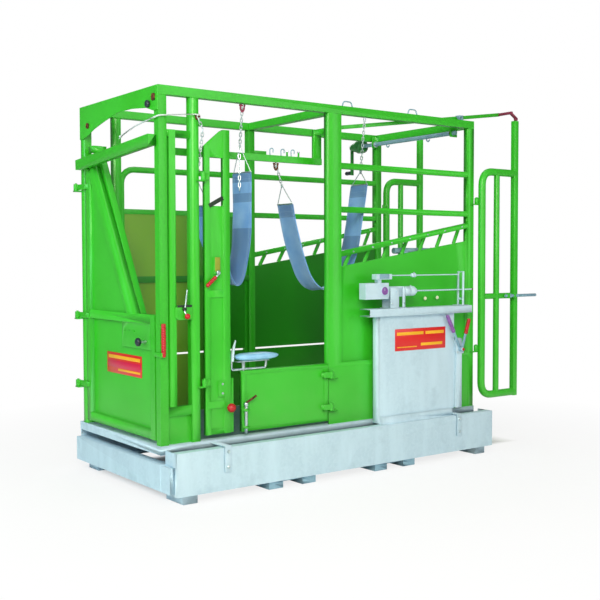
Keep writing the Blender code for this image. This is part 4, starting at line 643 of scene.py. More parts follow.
@dataclass(frozen=True)
class Webbing(Finish):
    """Woven polyester webbing: ribs across its length, paler where it bends to the light, with darker bands
    of sewn layers and of painted shade.
    """

    laid_on: ClassVar[str] = "UV"
    width: float = 0.17
    length: float = 1.5
    # darker bands, as shares of the belt's length from its front end: reinforcing layers sewn on near the
    # ends, and painted shade on the bands between
    sewn_and_shaded_bands: tuple[tuple[float, float], ...] = ()

    def lay(self, s: Surface) -> None:
        """Lay the finish's patterns on a surface."""
        s.shader.inputs["Sheen Weight"].default_value = 0.35
        s.shader.inputs["Sheen Roughness"].default_value = 0.5
        run = s.add("SeparateXYZ", {0: s.place}).outputs[1]
        s.place = s.add("Mapping", {"Scale": (self.width, self.length, 1),
                                    "Vector": s.place}).outputs[0]
        cloud = s.noise(0.16)
        tone = s.mix(cloud, self.colour, self.second, 0.30, 0.70)
        # each band is darkened: sewn layers near the ends, painted shade on the others
        for start, end in self.sewn_and_shaded_bands:
            inside = s.reckon("MULTIPLY", s.reckon("GREATER_THAN", run, start),
                              s.reckon("LESS_THAN", run, end))
            tone = s.mix(s.reckon("MULTIPLY", inside, 0.62), tone, shade(self.colour, 0.40))
        # ribs are 1.5 mm apart in the real webbing; they are drawn 2.2 mm apart, so that they show,
        # and the warp 3.8 mm apart: a wave's pitch is 0.314 m over its scale
        threads = [s.add("TexWave", {"Scale": scale, "bands_direction": way, "Distortion": bent,
                                     "Vector": s.place}).outputs["Fac"]
                   for scale, way, bent in ((142.8612, "Y", 0.4), (83.3357, "X", 0.0))]
        weave = s.reckon("MULTIPLY", *threads)
        tone = s.mix(weave, shade(self.colour, 0.72), tone, -1.2, 0.6)
        s.close(tone, cloud, (self.roughness, 0.05), weave, 0.0005)


@dataclass(frozen=True)
class TwistedCord(Finish):
    """Twisted polypropylene cord: pale fibres wound in strands, with a dry sheen."""

    def lay(self, s: Surface) -> None:
        """Lay the finish's patterns on a surface."""
        fibre = s.noise(0.004, 4.0)
        s.close(s.mix(fibre, self.colour, self.second, 0.35, 0.70), fibre, (self.roughness, 0.08),
                fibre, 0.0004)


class Coat(Enum):
    """The finishes on the crush, by where they are used."""

    GREEN = Enamel("green_gloss_enamel", "#2FB41A", "#38C02A", 0.38, coat=0.12)
    # olive green of painted warm light, giving way to painted shade towards the rear
    OLIVE = Enamel("green_painted_light_and_shade", "#6FA81E", "#7CB026", 0.40, coat=0.1,
                   turn=(-0.85, -0.60), painted_shade_colour="#1E8A12")
    # dark green of painted shade, for inner faces that the lamps hardly reach
    INNER = Enamel("green_painted_shade", "#1E8A12", "#1A7E12", 0.42, coat=0.05)
    DEEP_GREEN = Enamel("deep_green_enamel", "#1C7A2A", "#23883A", 0.42, coat=0.2)
    ZINC = HotDipZinc("hot_dip_zinc", "#C2DAE8", "#B0CCDC", 0.50, 0.15)
    FLOOR = HotDipZinc("zinc_tread_plate", "#6E8894", "#5E7884", 0.52, 0.25, tread=0.030)
    BLUE_STEEL = HotDipZinc("dull_zinc", "#8FB4C6", "#749AB0", 0.50, 0.30, crystal=0.010)
    IVORY = Moulding("ivory_cap", "#F4F2D8", "#ECEACC", 0.40)
    BRIGHT = PlatedSteel("zinc_plated_steel", "#D5E2E6", "#A9BCC4", 0.30, 0.9)
    RUST = RustyIron("rusty_forged_iron", "#7A4326", "#3E2318", 0.80, 0.25)
    MAROON = Enamel("maroon_oxide_primer", "#8E2A4A", "#6E2038", 0.45)
    RED = Moulding("red_pvc_grip", "#BE101C", "#AA0C18", 0.42, coat=0.05)
    PURPLE = Moulding("violet_pvc_grip", "#8C5AA8", "#774A94", 0.42, coat=0.1)
    BLACK = Moulding("black_nylon", "#16232C", "#1F3038", 0.42, coat=0.1)
    PAD = Moulding("pale_blue_vinyl", "#86BEE6", "#9ACDF0", 0.34, coat=0.3, grain=0.005)
    SIGN = Enamel("red_sign_enamel", "#DC1E16", "#D01812", 0.32, coat=0.3, wear=0.1)
    PINK = Enamel("crimson_sign_enamel", "#D8104A", "#C80C40", 0.32, coat=0.3, wear=0.1)
    YELLOW = Enamel("yellow_sign_ink", "#F4B81E", "#EEA818", 0.38, wear=0.1)
    # dark paint on the hub, bracket and cap; on the wing gate's sheet top it is painted shade
    DARK = Enamel("dark_paint_and_painted_shade", "#17301C", "#102616", 0.50, wear=0.1)
    OCHRE = Enamel("ochre_primer", "#8E9A28", "#7E8A20", 0.50, wear=0.2)
    THREAD = TwistedCord("bonded_thread", "#9FBEDC", "#86A8CC", 0.60)
    CORD = TwistedCord("polypropylene_cord", "#DCE6E4", "#B8C6C8", 0.62)


# ---- assemblies

def foot_seams(x: float, y: float, z: float) -> Seams:
    """The two seen seams round a post's foot or head, from its lower x and y at a height."""
    return [((x + 0.004, y, z), (x + POST - 0.004, y, z)), ((x, y + 0.004, z), (x, y + POST - 0.004, z))]


class Assembly:
    """A sub-assembly: builds its pieces, dresses them and lays them on their bodies."""

    # CAD nodes shown with eased edges: the body, the coat, the size of the easing and the nodes
    skins: tuple[tuple, ...] = ()

    def build(self) -> None:
        """Build every piece, the eased ones first."""
        for body, coat, width, *nodes in self.skins:
            for node in nodes:
                self.fit(skin(node, width), body, coat, node, angle=None)
        self.dress()

    def dress(self) -> None:
        """Build the pieces that aren't eased copies."""
        raise NotImplementedError

    def fit(self, obj: Piece, body: str, coat: object, *nodes: str,
            angle: Optional[float] = 50.0) -> Piece:
        """Coat a piece, lay it on its body and let it stand for CAD nodes.

        Args:
            obj: the finished mesh.
            body: the body that it rides on.
            coat: its finish, from Coat or made for it.
            nodes: the CAD nodes that it takes the place of.
            angle: edges sharper than this stay sharp, or None where it is shaded already.

        Returns:
            The piece.
        """
        obj.data.materials.clear()
        obj.data.materials.append((coat.value if isinstance(coat, Coat) else coat).material())
        if angle is not None:
            smooth(obj, angle)
        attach(obj, body)
        if nodes:
            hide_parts(*nodes)
        LOG.info("%s on %s, %d faces", obj.name, body, len(obj.data.polygons))
        return obj

    def group(self, name: str, body: str, coat: Coat, parts: Iterable[Piece], *nodes: str) -> Piece:
        """Fit several meshes as one piece."""
        return self.fit(joined(name, parts), body, coat, *nodes)

    def lathe(self, name: str, body: str, coat: Coat, start: Point, way: Point, profile: Pairs,
              sides: int, *nodes: str) -> Piece:
        """Fit a turned piece, given as for turned()."""
        return self.fit(turned(name, start, way, profile, sides), body, coat, *nodes)

    def bolts(self, name: str, body: str, places: Sequence[Point], across: float, head: float,
              way: Point = OUT, coat: Coat = Coat.BRIGHT) -> None:
        """Fit hexagon bolts on washers, with the ends of their threads, as one piece.

        Args:
            name: the piece's name.
            body: the body that they ride on.
            places: where each one stands, measured as for at().
            across: size of the heads over their corners, roughly.
            head: height of the heads.
            way: where they face.
            coat: their finish.
        """
        shapes = ((20, 0.0, ((0, 0.60), (0.0012, 0.62), (0.0022, 0.58))),
                  (6, 0.0018, ((0, 0.54), (head * 0.86, 0.54), (head, 0.46))),
                  (12, head, ((0, 0.24), (head * 0.5, 0.24), (head * 0.65, 0.18))))
        bolt = joined("bolt", [turned("bolt", PLAN + Vector((0, 0, z)), UP,
                                      [(d, across * r) for d, r in shape], sides)
                               for sides, z, shape in shapes])
        marks = [facing(at(place), way, 17 * k) for k, place in enumerate(places)]
        self.fit(joined(name, stamped(bolt, marks)), body, coat, angle=30)

    def weld(self, name: str, body: str, coat: Coat, seams: Seams, throat: float = 0.0030,
             pitch: float = 0.0042) -> None:
        """Fit fillet welds along seams, each a row of small scallops that overlap at their pitch."""
        only()
        bpy.ops.mesh.primitive_uv_sphere_add(segments=8, ring_count=4, radius=throat,
                                             scale=(1.0, 1.0, 1.25))
        scallop = fresh("scallop")
        marks = []
        for start, end in seams:
            start, end = at(start), at(end)
            count = max(2, round((end - start).length / pitch))
            marks += [facing(start.lerp(end, k / count), end - start, 40 * k) for k in range(count + 1)]
        self.group(name, body, coat, stamped(scallop, marks))

    def tint(self, name: str, coat: Coat, test: Callable[[bpy.types.MeshPolygon], bool]) -> None:
        """Give the faces of a piece that pass a test another finish."""
        mesh = bpy.data.objects[name].data
        mesh.materials.append(coat.value.material())
        for face in mesh.polygons:
            if test(face):
                face.material_index = len(mesh.materials) - 1


# ---- base and platform

class WeighingBase(Assembly):
    """Galvanised base beams, platform and the lever work between them."""

    skins = (
        ("frame", Coat.ZINC, 0.006, "base_near_beam", "base_far_beam", "base_front_beam",
         "base_rear_beam", "platform_frame"),
        ("frame", Coat.BLUE_STEEL, 0.003, "fork_channel_front", "fork_channel_rear"),
        ("frame", Coat.FLOOR, 0.001, "floor_plate"),
        ("frame", Coat.BLUE_STEEL, 0.002, "scale_shaft_front", "scale_shaft_rear", "transfer_lever"),
        ("frame", Coat.BRIGHT, 0.001, "pull_rod"))
    strap_xs: tuple[float, float] = (0.318, 2.150)
    strap_width: float = 0.042
    strap_bolt_zs: tuple[float, float] = (0.262, 0.176)
    foot_xs: tuple[float, float] = (0.057, 2.338)
    foot_length: float = 0.090
    corner_y: float = -0.525
    beam_face: float = -0.655

    def dress(self) -> None:
        """Bolts of the two straps, and welds of the feet, the straps and the platform's corner."""
        face, wide = self.beam_face, self.strap_width
        self.bolts("strap_bolts", "frame", [(x + wide / 2, face - 0.010, z) for x in self.strap_xs
                                            for z in self.strap_bolt_zs], 0.017, 0.006)
        seams = []
        for x in self.foot_xs:
            seams += [((x, face + 0.006, 0.045), (x + self.foot_length, face + 0.006, 0.045)),
                      ((x, face + 0.008, 0.044), (x, face + 0.050, 0.044))]
        seams += [((x + 0.003, NEAR - 0.005, 0.290), (x + wide - 0.003, NEAR - 0.005, 0.290))
                  for x in self.strap_xs]
        y = self.corner_y
        seams += [((-0.014, y, 0.206), (0.016, y, 0.206)), ((-0.0145, y, 0.064), (-0.0145, y, 0.203))]
        self.weld("base_welds", "frame", Coat.ZINC, seams)


# ---- green frame

class MainFrame(Assembly):
    """Posts, rails, side bays, fascia and cross beams of the green frame."""

    skins = (
        ("frame", Coat.GREEN, 0.004, "far_front_post", "near_second_post", "near_front_bay",
         "near_rear_bay", "far_rear_bay", "near_top_rail", "far_top_rail", "mid_cross_beam",
         "rear_cross_beam", "hook_rail", "far_front_bay"),
        ("frame", Coat.GREEN, 0.0015, "front_fascia"))
    rack_zs: tuple[float, float] = (1.366, 1.566)
    rack_struts: int = 7
    mid_post_end: float = 1.278
    rear_post_x: float = 2.410
    second_post_x: float = 0.202
    slat_zs: tuple[float, float] = (1.918, 1.646)
    # the edges of the two rungs between the front post and the second post
    rung_edges: tuple[float, ...] = (2.0105, 2.049, 0.466, 0.516)
    ledge_zs: tuple[float, float] = (1.183, 1.227)
    pins: Pairs = ((2.009, 1.071), (2.121, 1.074))
    hook_xs: tuple[float, ...] = (0.872, 0.955, 1.032)
    stud_xs: tuple[float, float] = (0.990, 1.078)

    def dress(self) -> None:
        """Build the pieces that aren't eased copies."""
        self.tints()
        self.welds()
        self.rivets()
        self.fascia_fittings()
        self.rail_fittings()

    def tints(self) -> None:
        """Painted shade on the far rear sheet's inner face and on the front sheet's ledge, painted warm light
        fading to painted shade on the front sheet's inner face, and the wire eyes on the rail.
        """
        inner = at((0, FAR - POST / 2 - 0.012, 0)).y
        # painted shade on the far rear sheet's inner face, painted warm light and shade on the front one's
        for bay, coat in (("far_rear_bay_skin", Coat.INNER), ("far_front_bay_skin", Coat.OLIVE)):
            self.tint(bay, coat, lambda face: face.normal.y < -0.9 and abs(face.center.y - inner) < 0.001)
        # painted shade on the ledge along the far front sheet
        low, high = self.ledge_zs
        start = at((0.075, 0, 0)).x
        self.tint("far_front_bay_skin", Coat.INNER,
                  lambda face: low < face.center.z < high and face.center.y < inner - 0.0005
                  and face.center.x > start)
        self.tint("near_top_rail_skin", Coat.BLUE_STEEL, lambda face: face.center.z > TOP_Z + 0.001)

    def welds(self) -> None:
        """Fillet welds where tubes meet."""
        seams = []
        for y in (NEAR, FAR - POST):
            for x in (0.0, self.second_post_x, self.rear_post_x):
                seams += foot_seams(x, y, DECK_Z + 0.002) + foot_seams(x, y, TOP_Z - POST - 0.002)
        ends = [(x, z) for z in self.slat_zs for x in (self.mid_post_end, self.rear_post_x)]
        edges = [(x, z + dz) for x, z in ends for dz in (-0.018, 0.018)]
        edges += [(x, z) for x in (0.050, 0.200) for z in self.rung_edges]
        seams += [((x, NEAR + 0.008, z), (x, NEAR + 0.042, z)) for x, z in edges]
        seams += [((x, NEAR + 0.007, z - 0.016), (x, NEAR + 0.007, z + 0.016)) for x, z in ends]
        self.weld("frame_welds", "frame", Coat.GREEN, seams)

    def rivets(self) -> None:
        """A pale rivet through the rack bar at each strut, on both sides, and two sheet pins."""
        places = []
        length = self.rear_post_x - self.mid_post_end
        low, high = self.rack_zs
        for k in range(self.rack_struts):
            run = length / self.rack_struts * (k + 0.30) + 0.055
            places += [(self.mid_post_end + run, y + 0.008, low + (high - low) * run / length)
                       for y in (NEAR, FAR - POST)]
        self.bolts("rack_rivets", "frame", places, 0.010, 0.0035)
        self.bolts("sheet_pins", "frame", [(x, NEAR + 0.0125, z) for x, z in self.pins], 0.020, 0.005,
                   coat=Coat.IVORY)

    def fascia_fittings(self) -> None:
        """Rusty ring bolt, clamp and knob on the front board."""
        face = -0.0063
        parts = [hoop("ring", (face - 0.006, 0.384, 2.160), REARWARD, 0.013, 0.005),
                 turned("stem", (face + 0.001, 0.384, 2.160), FORWARD, mm(0, 10, 6, 10, 10, 5), 16),
                 block("clamp", (face - 0.010, -0.486, 2.205), (face + 0.001, -0.456, 2.243), 0.004),
                 barrel("pin", (face - 0.014, -0.470, 2.224), (face, -0.470, 2.224), 0.007, 12)]
        self.group("fascia_irons", "frame", Coat.RUST, parts)
        self.lathe("fascia_knob", "frame", Coat.BLACK, (face + 0.001, -0.416, 2.191), FORWARD,
                   mm(0, 10, 4, 11, 7, 19, 13, 21, 20, 18, 23, 10), 28)

    def rail_fittings(self) -> None:
        """Studs and wire hooks on the hook rail, and pressed caps in the top rails' open ends."""
        y = -0.330
        self.bolts("rail_studs", "frame", [(x, y, 1.998) for x in self.stud_xs], 0.014, 0.006, UP)
        hooks = [pipe("hook", rounded([(x - 0.010, y, 1.968), (x - 0.012, y, 2.012), (x + 0.014, y, 2.016),
                                       (x + 0.012, y, 1.990)], 0.012, 6), 0.0032, 4)
                 for x in self.hook_xs]
        self.group("rail_hooks", "frame", Coat.BLUE_STEEL, hooks)
        caps = [block("cap", (LENGTH - 0.001, y + 0.004, TOP_Z - POST + 0.004),
                      (LENGTH + 0.003, y + POST - 0.004, TOP_Z - 0.004), 0.0018)
                for y in (NEAR, FAR - POST)]
        self.group("rail_end_caps", "frame", Coat.BLACK, caps)


# ---- head gate

class HeadGate(Assembly):
    """Head gate with its guide bar, jaw, yoke arm, plunger, latch and sign."""

    skins = (("head_gate", Coat.GREEN, 0.004, "head_gate"), ("yoke_arm", Coat.GREEN, 0.004, "yoke_arm"))
    sign_y: tuple[float, float] = (-0.239, 0.216)
    sign_z: tuple[float, float] = (0.655, 0.780)
    plunger: tuple[float, float] = (-0.320, 0.873)

    def dress(self) -> None:
        """Build the pieces that aren't eased copies."""
        self.latch()
        self.pull_knob()
        self.sign()
        self.neck_stop()
        self.weld("gate_welds", "head_gate", Coat.GREEN,
                  [((0.001, y, z), (0.046, y, z)) for y in (-0.393, 0.400) for z in (0.382, 0.975, 1.027)])

    def latch(self) -> None:
        """Gate latch: pivot, red ribbed grip and the tongue behind it."""
        x, y, z = 0.012, NEAR - 0.0165, 0.965
        self.lathe("latch_grip", "gate_latch", Coat.RED, (x, y, z + 0.020), (0, 0, -1),
                   ribbed(mm(0, 9.5, 6, 13), 0.012, 0.0132, 12, mm(0, 13.2, 9, 13.2, 10, 12, 12.2, 12),
                          mm(178, 13.2, 185, 8.8)), 24, "head_gate_latch")
        parts = [barrel("pivot", (x, NEAR - 0.0003, z), (x, y, z), 0.011, 20),
                 block("tongue", (-0.0083, y - 0.006, 0.800), (x + 0.004, y + 0.006, 0.825)),
                 block("reach", (-0.0083, y - 0.005, 0.800), (-0.0003, -0.454, 0.825))]
        self.group("latch_iron", "gate_latch", Coat.GREEN, parts)

    def pull_knob(self) -> None:
        """Spring plunger with its black knob and a bright stem."""
        y, z = self.plunger
        self.lathe("plunger_knob", "yoke_plunger", Coat.BLACK, (-0.052, y, z), REARWARD,
                   mm(0, 12, 2, 17, 6, 22.5, 10, 24, 18, 24, 22, 22.5, 26, 17, 28, 14), 32, "yoke_pin")
        self.fit(barrel("plunger_stem", (-0.026, y, z), (0.050, y, z), 0.0078, 20), "yoke_plunger",
                 Coat.BRIGHT)

    def sign(self) -> None:
        """Red plate with a crimson band and plain yellow bars."""
        (y0, y1), (z0, z1) = self.sign_y, self.sign_z
        self.fit(block("gate_sign_plate", (0.0257, y0, z0), (0.0277, y1, z1), 0.0009), "head_gate",
                 Coat.SIGN, "head_gate_sign")
        self.fit(block("gate_sign_band", (0.0252, y0 + 0.010, z0 + 0.036),
                       (0.0260, y1 - 0.010, z0 + 0.076), 0.0003), "head_gate", Coat.PINK)
        bars = [block("bar", (0.0250, y0 + 0.020, low), (0.0258, y1 - short, high), 0.0003)
                for low, high, short in ((z1 - 0.036, z1 - 0.016, 0.022), (z0 + 0.018, z0 + 0.030, 0.150))]
        self.group("gate_sign_bars", "head_gate", Coat.YELLOW, bars)

    def neck_stop(self) -> None:
        """Lever that locks the head bail: pale rod, dark bracket, red ball."""
        y = NEAR - 0.010
        rod = flowing([(0.166, y, 1.168), (0.158, y, 1.108), (0.149, y, 1.050),
                       (0.152, y - 0.004, 1.038), (0.159, y - 0.010, 1.024)], 4)
        self.fit(pipe("neck_rod", rod, 0.0042), "neck_lever", Coat.BRIGHT, "neck_lever")
        self.fit(ball("neck_ball", (0.160, y - 0.0280, 1.020), 0.016, 12, 24), "neck_lever", Coat.RED)
        self.lathe("neck_hub", "neck_lever", Coat.DARK, (0.150, NEAR - 0.0035, 1.060), OUT,
                   mm(0, 12, 4, 12.5, 9, 12, 10.5, 8), 20)
        self.fit(block("neck_bracket", (0.1075, NEAR - 0.0045, 1.0700), (0.2000, NEAR - 0.0020, 1.0830),
                       0.001), "frame", Coat.DARK)


# ---- side openings

class SideGates(Assembly):
    """Wing gate and low side door, with their catches and the hoof rest."""

    skins = (("wing_gate", Coat.GREEN, 0.003, "wing_gate"), ("side_door", Coat.GREEN, 0.003, "side_door"))
    bolt: tuple[float, float] = (0.551, -0.524)
    rest_x: tuple[float, float] = (0.462, 0.725)
    rest_y: float = -0.494
    pad_size: tuple[float, float, float] = (0.300, 0.104, 0.045)
    seam_depth: float = 0.0016
    seam_share: float = 0.62

    def dress(self) -> None:
        """Build the pieces that aren't eased copies."""
        self.wing_lever()
        self.wing_catch()
        self.wing_trim()
        self.drop_bolt()
        self.hoof_rest()
        self.pad()

    def wing_lever(self) -> None:
        """Red latch handle with finger ribs on a bright stem."""
        way = Vector((-0.080, 0, -0.070)).normalized()
        start = Vector((0.374, NEAR - 0.016, 1.258))
        self.lathe("wing_grip", "wing_lever", Coat.RED, start + way * 0.031, way,
                   ribbed(mm(0, 7, 3, 10.5), 0.006, 0.0146, 5, mm(0, 11, 9.8, 11, 11, 9.8, 13.4, 9.8),
                          mm(77, 11, 82, 7)), 20, "wing_latch_lever")
        parts = [barrel("stem", start - way * 0.004, start + way * 0.034, 0.006, 16),
                 turned("boss", (0.368, NEAR - 0.0043, 1.262), OUT,
                        mm(0, 11.8, 3, 12.2, 12, 12.2, 15.5, 9), 20)]
        self.group("wing_lever_stem", "wing_lever", Coat.BRIGHT, parts)

    def wing_catch(self) -> None:
        """Red ball knob on its sliding pin."""
        x, z = 0.436, 0.485
        self.fit(ball("catch_ball", (x, -0.5740, z), 0.026, 14, 28, 0.97, 3), "wing_catch", Coat.RED,
                 "wing_catch_knob")
        self.fit(barrel("catch_pin", (x, -0.5520, z), (x, -0.5103, z), 0.006, 16), "wing_catch", Coat.BRIGHT)

    def wing_trim(self) -> None:
        """Dark strip of painted shade on the sheet's sloping top, the latch's ochre keeper and two bolts."""
        # painted shade: a dark strip where the sheet's sloping top lies in shade
        self.fit(flat_bar("wing_strip", (0.318, -0.5085, 1.638), (0.410, -0.5085, 1.687), 0.024, 0.006,
                          0.002), "wing_gate", Coat.DARK)
        self.fit(block("wing_keeper", (0.351, -0.5165, 1.268), (0.385, -0.5130, 1.348), 0.0014),
                 "wing_gate", Coat.OCHRE)
        self.bolts("wing_bolts", "wing_gate", [(0.398, -0.5130, z) for z in (0.622, 0.568)], 0.011, 0.004)

    def drop_bolt(self) -> None:
        """Drop bolt with its bent handle and collar."""
        x, y = self.bolt
        parts = [barrel("shaft", (x, y, 0.322), (x, y, 0.496), 0.0098, 20, 0.002),
                 turned("collar", (x, y, 0.484), UP, mm(0, 12.8, 2, 13.5, 15, 13.5, 18, 11), 20)]
        bend = rounded([(x, y, 0.470), (x, y, 0.500), (x + 0.062, y - 0.016, 0.540)], 0.014, 6)
        self.group("drop_bolt_body", "door_bolt", Coat.BRIGHT, parts, "drop_bolt")
        self.fit(pipe("drop_bolt_handle", bend, 0.0065), "door_bolt", Coat.RUST)

    def hoof_rest(self) -> None:
        """Wire hoop, saddle plate and horn that carry the hoof pad."""
        (low, high), y, z = self.rest_x, self.rest_y, 0.6943
        line = rounded([(low + 0.008, y, 0.744), (low + 0.008, y, z), (high - 0.016, y, z),
                        (high - 0.012, y, 0.742)], 0.016, 6)
        parts = [pipe("hoop", line, 0.007, 5),
                 barrel("stay", (0.552, y, z), (0.552, y, 0.742), 0.0105, 20),
                 barrel("pin", (0.552, y, 0.656), (0.552, y, z + 0.008), 0.007, 16),
                 block("saddle", (0.500, y - 0.020, 0.7380), (high, y + 0.020, 0.7442), 0.0018)]
        self.group("hoof_rest_frame", "hoof_rest", Coat.BRIGHT, parts, "hoof_rest_bracket")
        foot = (0.473, 0.744)
        line = [(x, y, z) for x, z in (foot, *mm(476, 770, 481, 800, 489, 835, 499, 866))]
        horn = pipe("hoof_horn", flowing(line, 4), 0.0085, 5)
        # it leans to the rear and thins out as it rises
        for vertex in horn.data.vertices:
            rise = min(max((vertex.co.z - foot[1]) / 0.122, 0.0), 1.0)
            middle = at((foot[0] + 0.026 * rise ** 1.6, y, 0))
            vertex.co.x = middle.x + (vertex.co.x - middle.x) * (1.25 - 0.85 * rise ** 2)
            vertex.co.y = middle.y + (vertex.co.y - middle.y) * (2.0 - 1.3 * rise)
        self.fit(horn, "hoof_rest", Coat.ZINC)

    def pad(self) -> None:
        """Padded roll that the hoof lies on: crowned, blunt at one end, tapered at the other."""
        long, wide, tall = self.pad_size
        only()
        bpy.ops.mesh.primitive_uv_sphere_add(segments=40, ring_count=48, radius=1.0)
        for vertex in bpy.context.object.data.vertices:
            share = vertex.co.z
            girth = max(math.sqrt(max(1.0 - share * share, 0.0)), 1e-6)
            # how full the roll is along its length, and the two grooves where its cover is sewn
            full = (1 - abs(share) ** 5) ** 0.5 if share < 0 else (1 - share ** 2.6) ** 0.62
            seam = self.seam_depth * math.exp(-((abs(share) - self.seam_share) / 0.02) ** 2)
            spread = []
            for side, size in ((vertex.co.x, wide), (vertex.co.y, tall)):
                reach = math.copysign(abs(side / girth) ** 0.72, side) * size / 2 * full
                spread.append(reach - math.copysign(seam, reach))
            vertex.co = at((0.644 + share * long / 2, self.rest_y - 0.010 + spread[0],
                            0.7452 + tall / 2 + spread[1]))
        pad = edit(fresh("hoof_pad"), face_outwards)
        self.fit(pad, "hoof_rest", Coat.PAD, "hoof_rest_pad", angle=80)


# ---- rear gates

class RearGates(Assembly):
    """Two bent tube leaves, the slide bolt and the stay bar."""

    # each leaf's name, its CAD node, its hinge axis, its reach and its side of the crush
    leaves = (("near_leaf", "near_rear_leaf", (2.478, -0.520), 0.374, -1),
              ("far_leaf", "far_rear_leaf", (2.514, 0.490), 0.397, 1))
    low_z: float = 0.377
    high_z: float = 1.944
    stile_top: float = 2.318
    mid_z: float = 1.072
    tube: float = 0.026
    hinge_zs: tuple[float, float] = (0.690, 1.717)
    bolt_y: float = -0.571

    def dress(self) -> None:
        """Build the pieces that aren't eased copies."""
        for row in self.leaves:
            self.leaf(*row)
        self.slide_bolt()
        self.stay()

    def leaf(self, name: str, node: str, axis: tuple[float, float], reach: float, side: int) -> None:
        """Build one leaf: bent loop, middle bar, cross tube, square stile and hinge eyes.

        Args:
            name: the leaf's name, and its body's.
            node: the CAD node that it takes the place of.
            axis: x and y of its hinge.
            reach: from the hinge to its stile.
            side: -1 on the near side, 1 on the far side.
        """
        x, hinge_y = axis
        y = hinge_y + side * 0.015
        low, high, mid, tube = self.low_z, self.high_z, self.mid_z, self.tube
        tube_x, bar_x, stile_x = x + 0.038, x + 0.188, x + reach
        loop = rounded([(stile_x, y, high), (tube_x, y, high), (tube_x, y, low), (stile_x, y, low)],
                       0.100, 14)
        parts = [pipe("loop", loop, tube, 8),
                 barrel("bar", (bar_x, y, low), (bar_x, y, high), 0.021, 32),
                 barrel("rung", (tube_x, y, mid), (stile_x, y, mid), 0.020, 32),
                 block("stile", (stile_x - 0.020, y - 0.020, low - tube - 0.001),
                       (stile_x + 0.020, y + 0.020, self.stile_top), 0.004, 3)]
        for z in self.hinge_zs:
            parts += [turned("eye", (*axis, z), UP, mm(0, 13.8, 1.5, 15, 38.5, 15, 40, 13.8), 28),
                      block("arm", (x + 0.006, hinge_y - 0.006, z + 0.004),
                            (tube_x - 0.008, hinge_y + 0.006, z + 0.036)),
                      turned("cap", (*axis, z + 0.0405), UP, mm(0, 10, 1.5, 10.8, 4, 9, 6, 4), 20)]
        if side < 0:
            parts += [block("guide", (guide - 0.008, self.bolt_y - 0.018, mid - 0.018),
                            (guide + 0.008, y - 0.010, mid + 0.018), 0.002) for guide in (2.745, 2.812)]
        self.group(name, name, Coat.GREEN, parts, node)
        seams = [((bar_x - 0.019, y - 0.008, z), (bar_x + 0.019, y - 0.008, z))
                 for z in (low + tube - 0.001, high - tube + 0.001)]
        seams += [((at_x, y - half, z), (at_x, y + half, z)) for z in (mid - 0.016, mid + 0.016)
                  for at_x, half in ((stile_x - 0.021, 0.016), (tube_x + 0.026, 0.014))]
        self.weld(name + "_welds", name, Coat.GREEN, seams)

    def slide_bolt(self) -> None:
        """Slide bolt of the near leaf, with its thumb piece and a stop collar."""
        y, z = self.bolt_y, self.mid_z
        thumb = NEAR_STILE + 0.010
        parts = [barrel("bar", (2.720, y, z), (3.047, y, z), 0.0105, 24, 0.003),
                 barrel("thumb", (thumb, y, z), (thumb, y - 0.040, z), 0.0058, 16, 0.002),
                 turned("collar", (2.768, y, z), REARWARD, mm(0, 12.5, 2, 14.5, 10, 14.5, 12, 12.5), 20)]
        self.group("gate_bolt", "leaf_bolt", Coat.BLUE_STEEL, parts, "rear_gate_bolt")

    def stay(self) -> None:
        """Stay bar over the near rail, with its maroon catch dropping to the leaf's stile."""
        x, z = 2.380, 2.313
        parts = [flat_bar("bar", (1.300, -0.415, 2.162), (2.815, -0.415, 2.374), 0.024, 0.024, 0.003),
                 barrel("pin", (x, -0.453, z), (x, -0.423, z), 0.0068, 20),
                 turned("nut", (x, -0.407, z), IN, mm(0, 13, 7.5, 13, 9, 11), 6)]
        self.group("stay_bar", "stay", Coat.GREEN, parts, "gate_stay")
        y = -0.535
        catch = [block("root", (2.799, y - 0.010, 2.364), (2.819, -0.404, 2.382), 0.002),
                 flat_bar("slope", (2.806, y, 2.371), (NEAR_STILE + 0.012, y, 2.336), 0.012, 0.024, 0.002),
                 block("drop", (NEAR_STILE - 0.002, y - 0.010, 2.322), (NEAR_STILE + 0.020, y + 0.010, 2.342),
                       0.002)]
        self.group("stay_catch", "stay", Coat.MAROON, catch)
        self.lathe("stay_washer", "stay", Coat.RUST, (x, -0.4300, z), OUT, mm(0, 13, 1.2, 13.5, 2.4, 13), 24)


# ---- overhead gear

@dataclass
class Hanger:
    """One end of a belly belt: where its chain hangs and forks, and the drop of its spare links."""

    name: str
    points: tuple[Point, ...]
    shackle: Optional[Coat] = None
    spare: float = 0.0


@dataclass
class Belt:
    """A belly belt: the points of its line, its way across, width, darker bands (sewn layers and painted
    shade) and chains.
    """

    # how far its edges cup, how far back its middle then lies, how high the edges ripple, how often
    cup: ClassVar[float] = 0.006
    set_back: ClassVar[float] = 0.002
    ripple: ClassVar[float] = 0.0012
    ripples: ClassVar[int] = 9
    name: str
    points: tuple[Point, ...]
    across: Vector
    width: float
    sewn_and_shaded_bands: tuple[tuple[float, float], ...]
    hangers: tuple[Hanger, Hanger]

    def __post_init__(self) -> None:
        """Draw the belt's middle line through its points."""
        self.line = flowing(self.points, 6)
        self.length = length_of(self.line)
        self.body = self.name + "_sling"

    def spot(self, run: float, offset: float, lift: float = 0.0) -> tuple[Vector, Vector]:
        """Place and way on the cupped belt, at a run along it, a share of its width and a lift."""
        middle, way = along(self.line, run)
        out = way.cross(self.across).normalized()
        turn = math.pi * run / self.length
        cup = self.cup * (2 * offset) ** 2 * math.sin(turn) - self.set_back
        ripple = self.ripple * math.sin(self.ripples * turn) * 2 * offset
        return middle + self.across * offset * self.width + out * (ripple - cup + lift), way


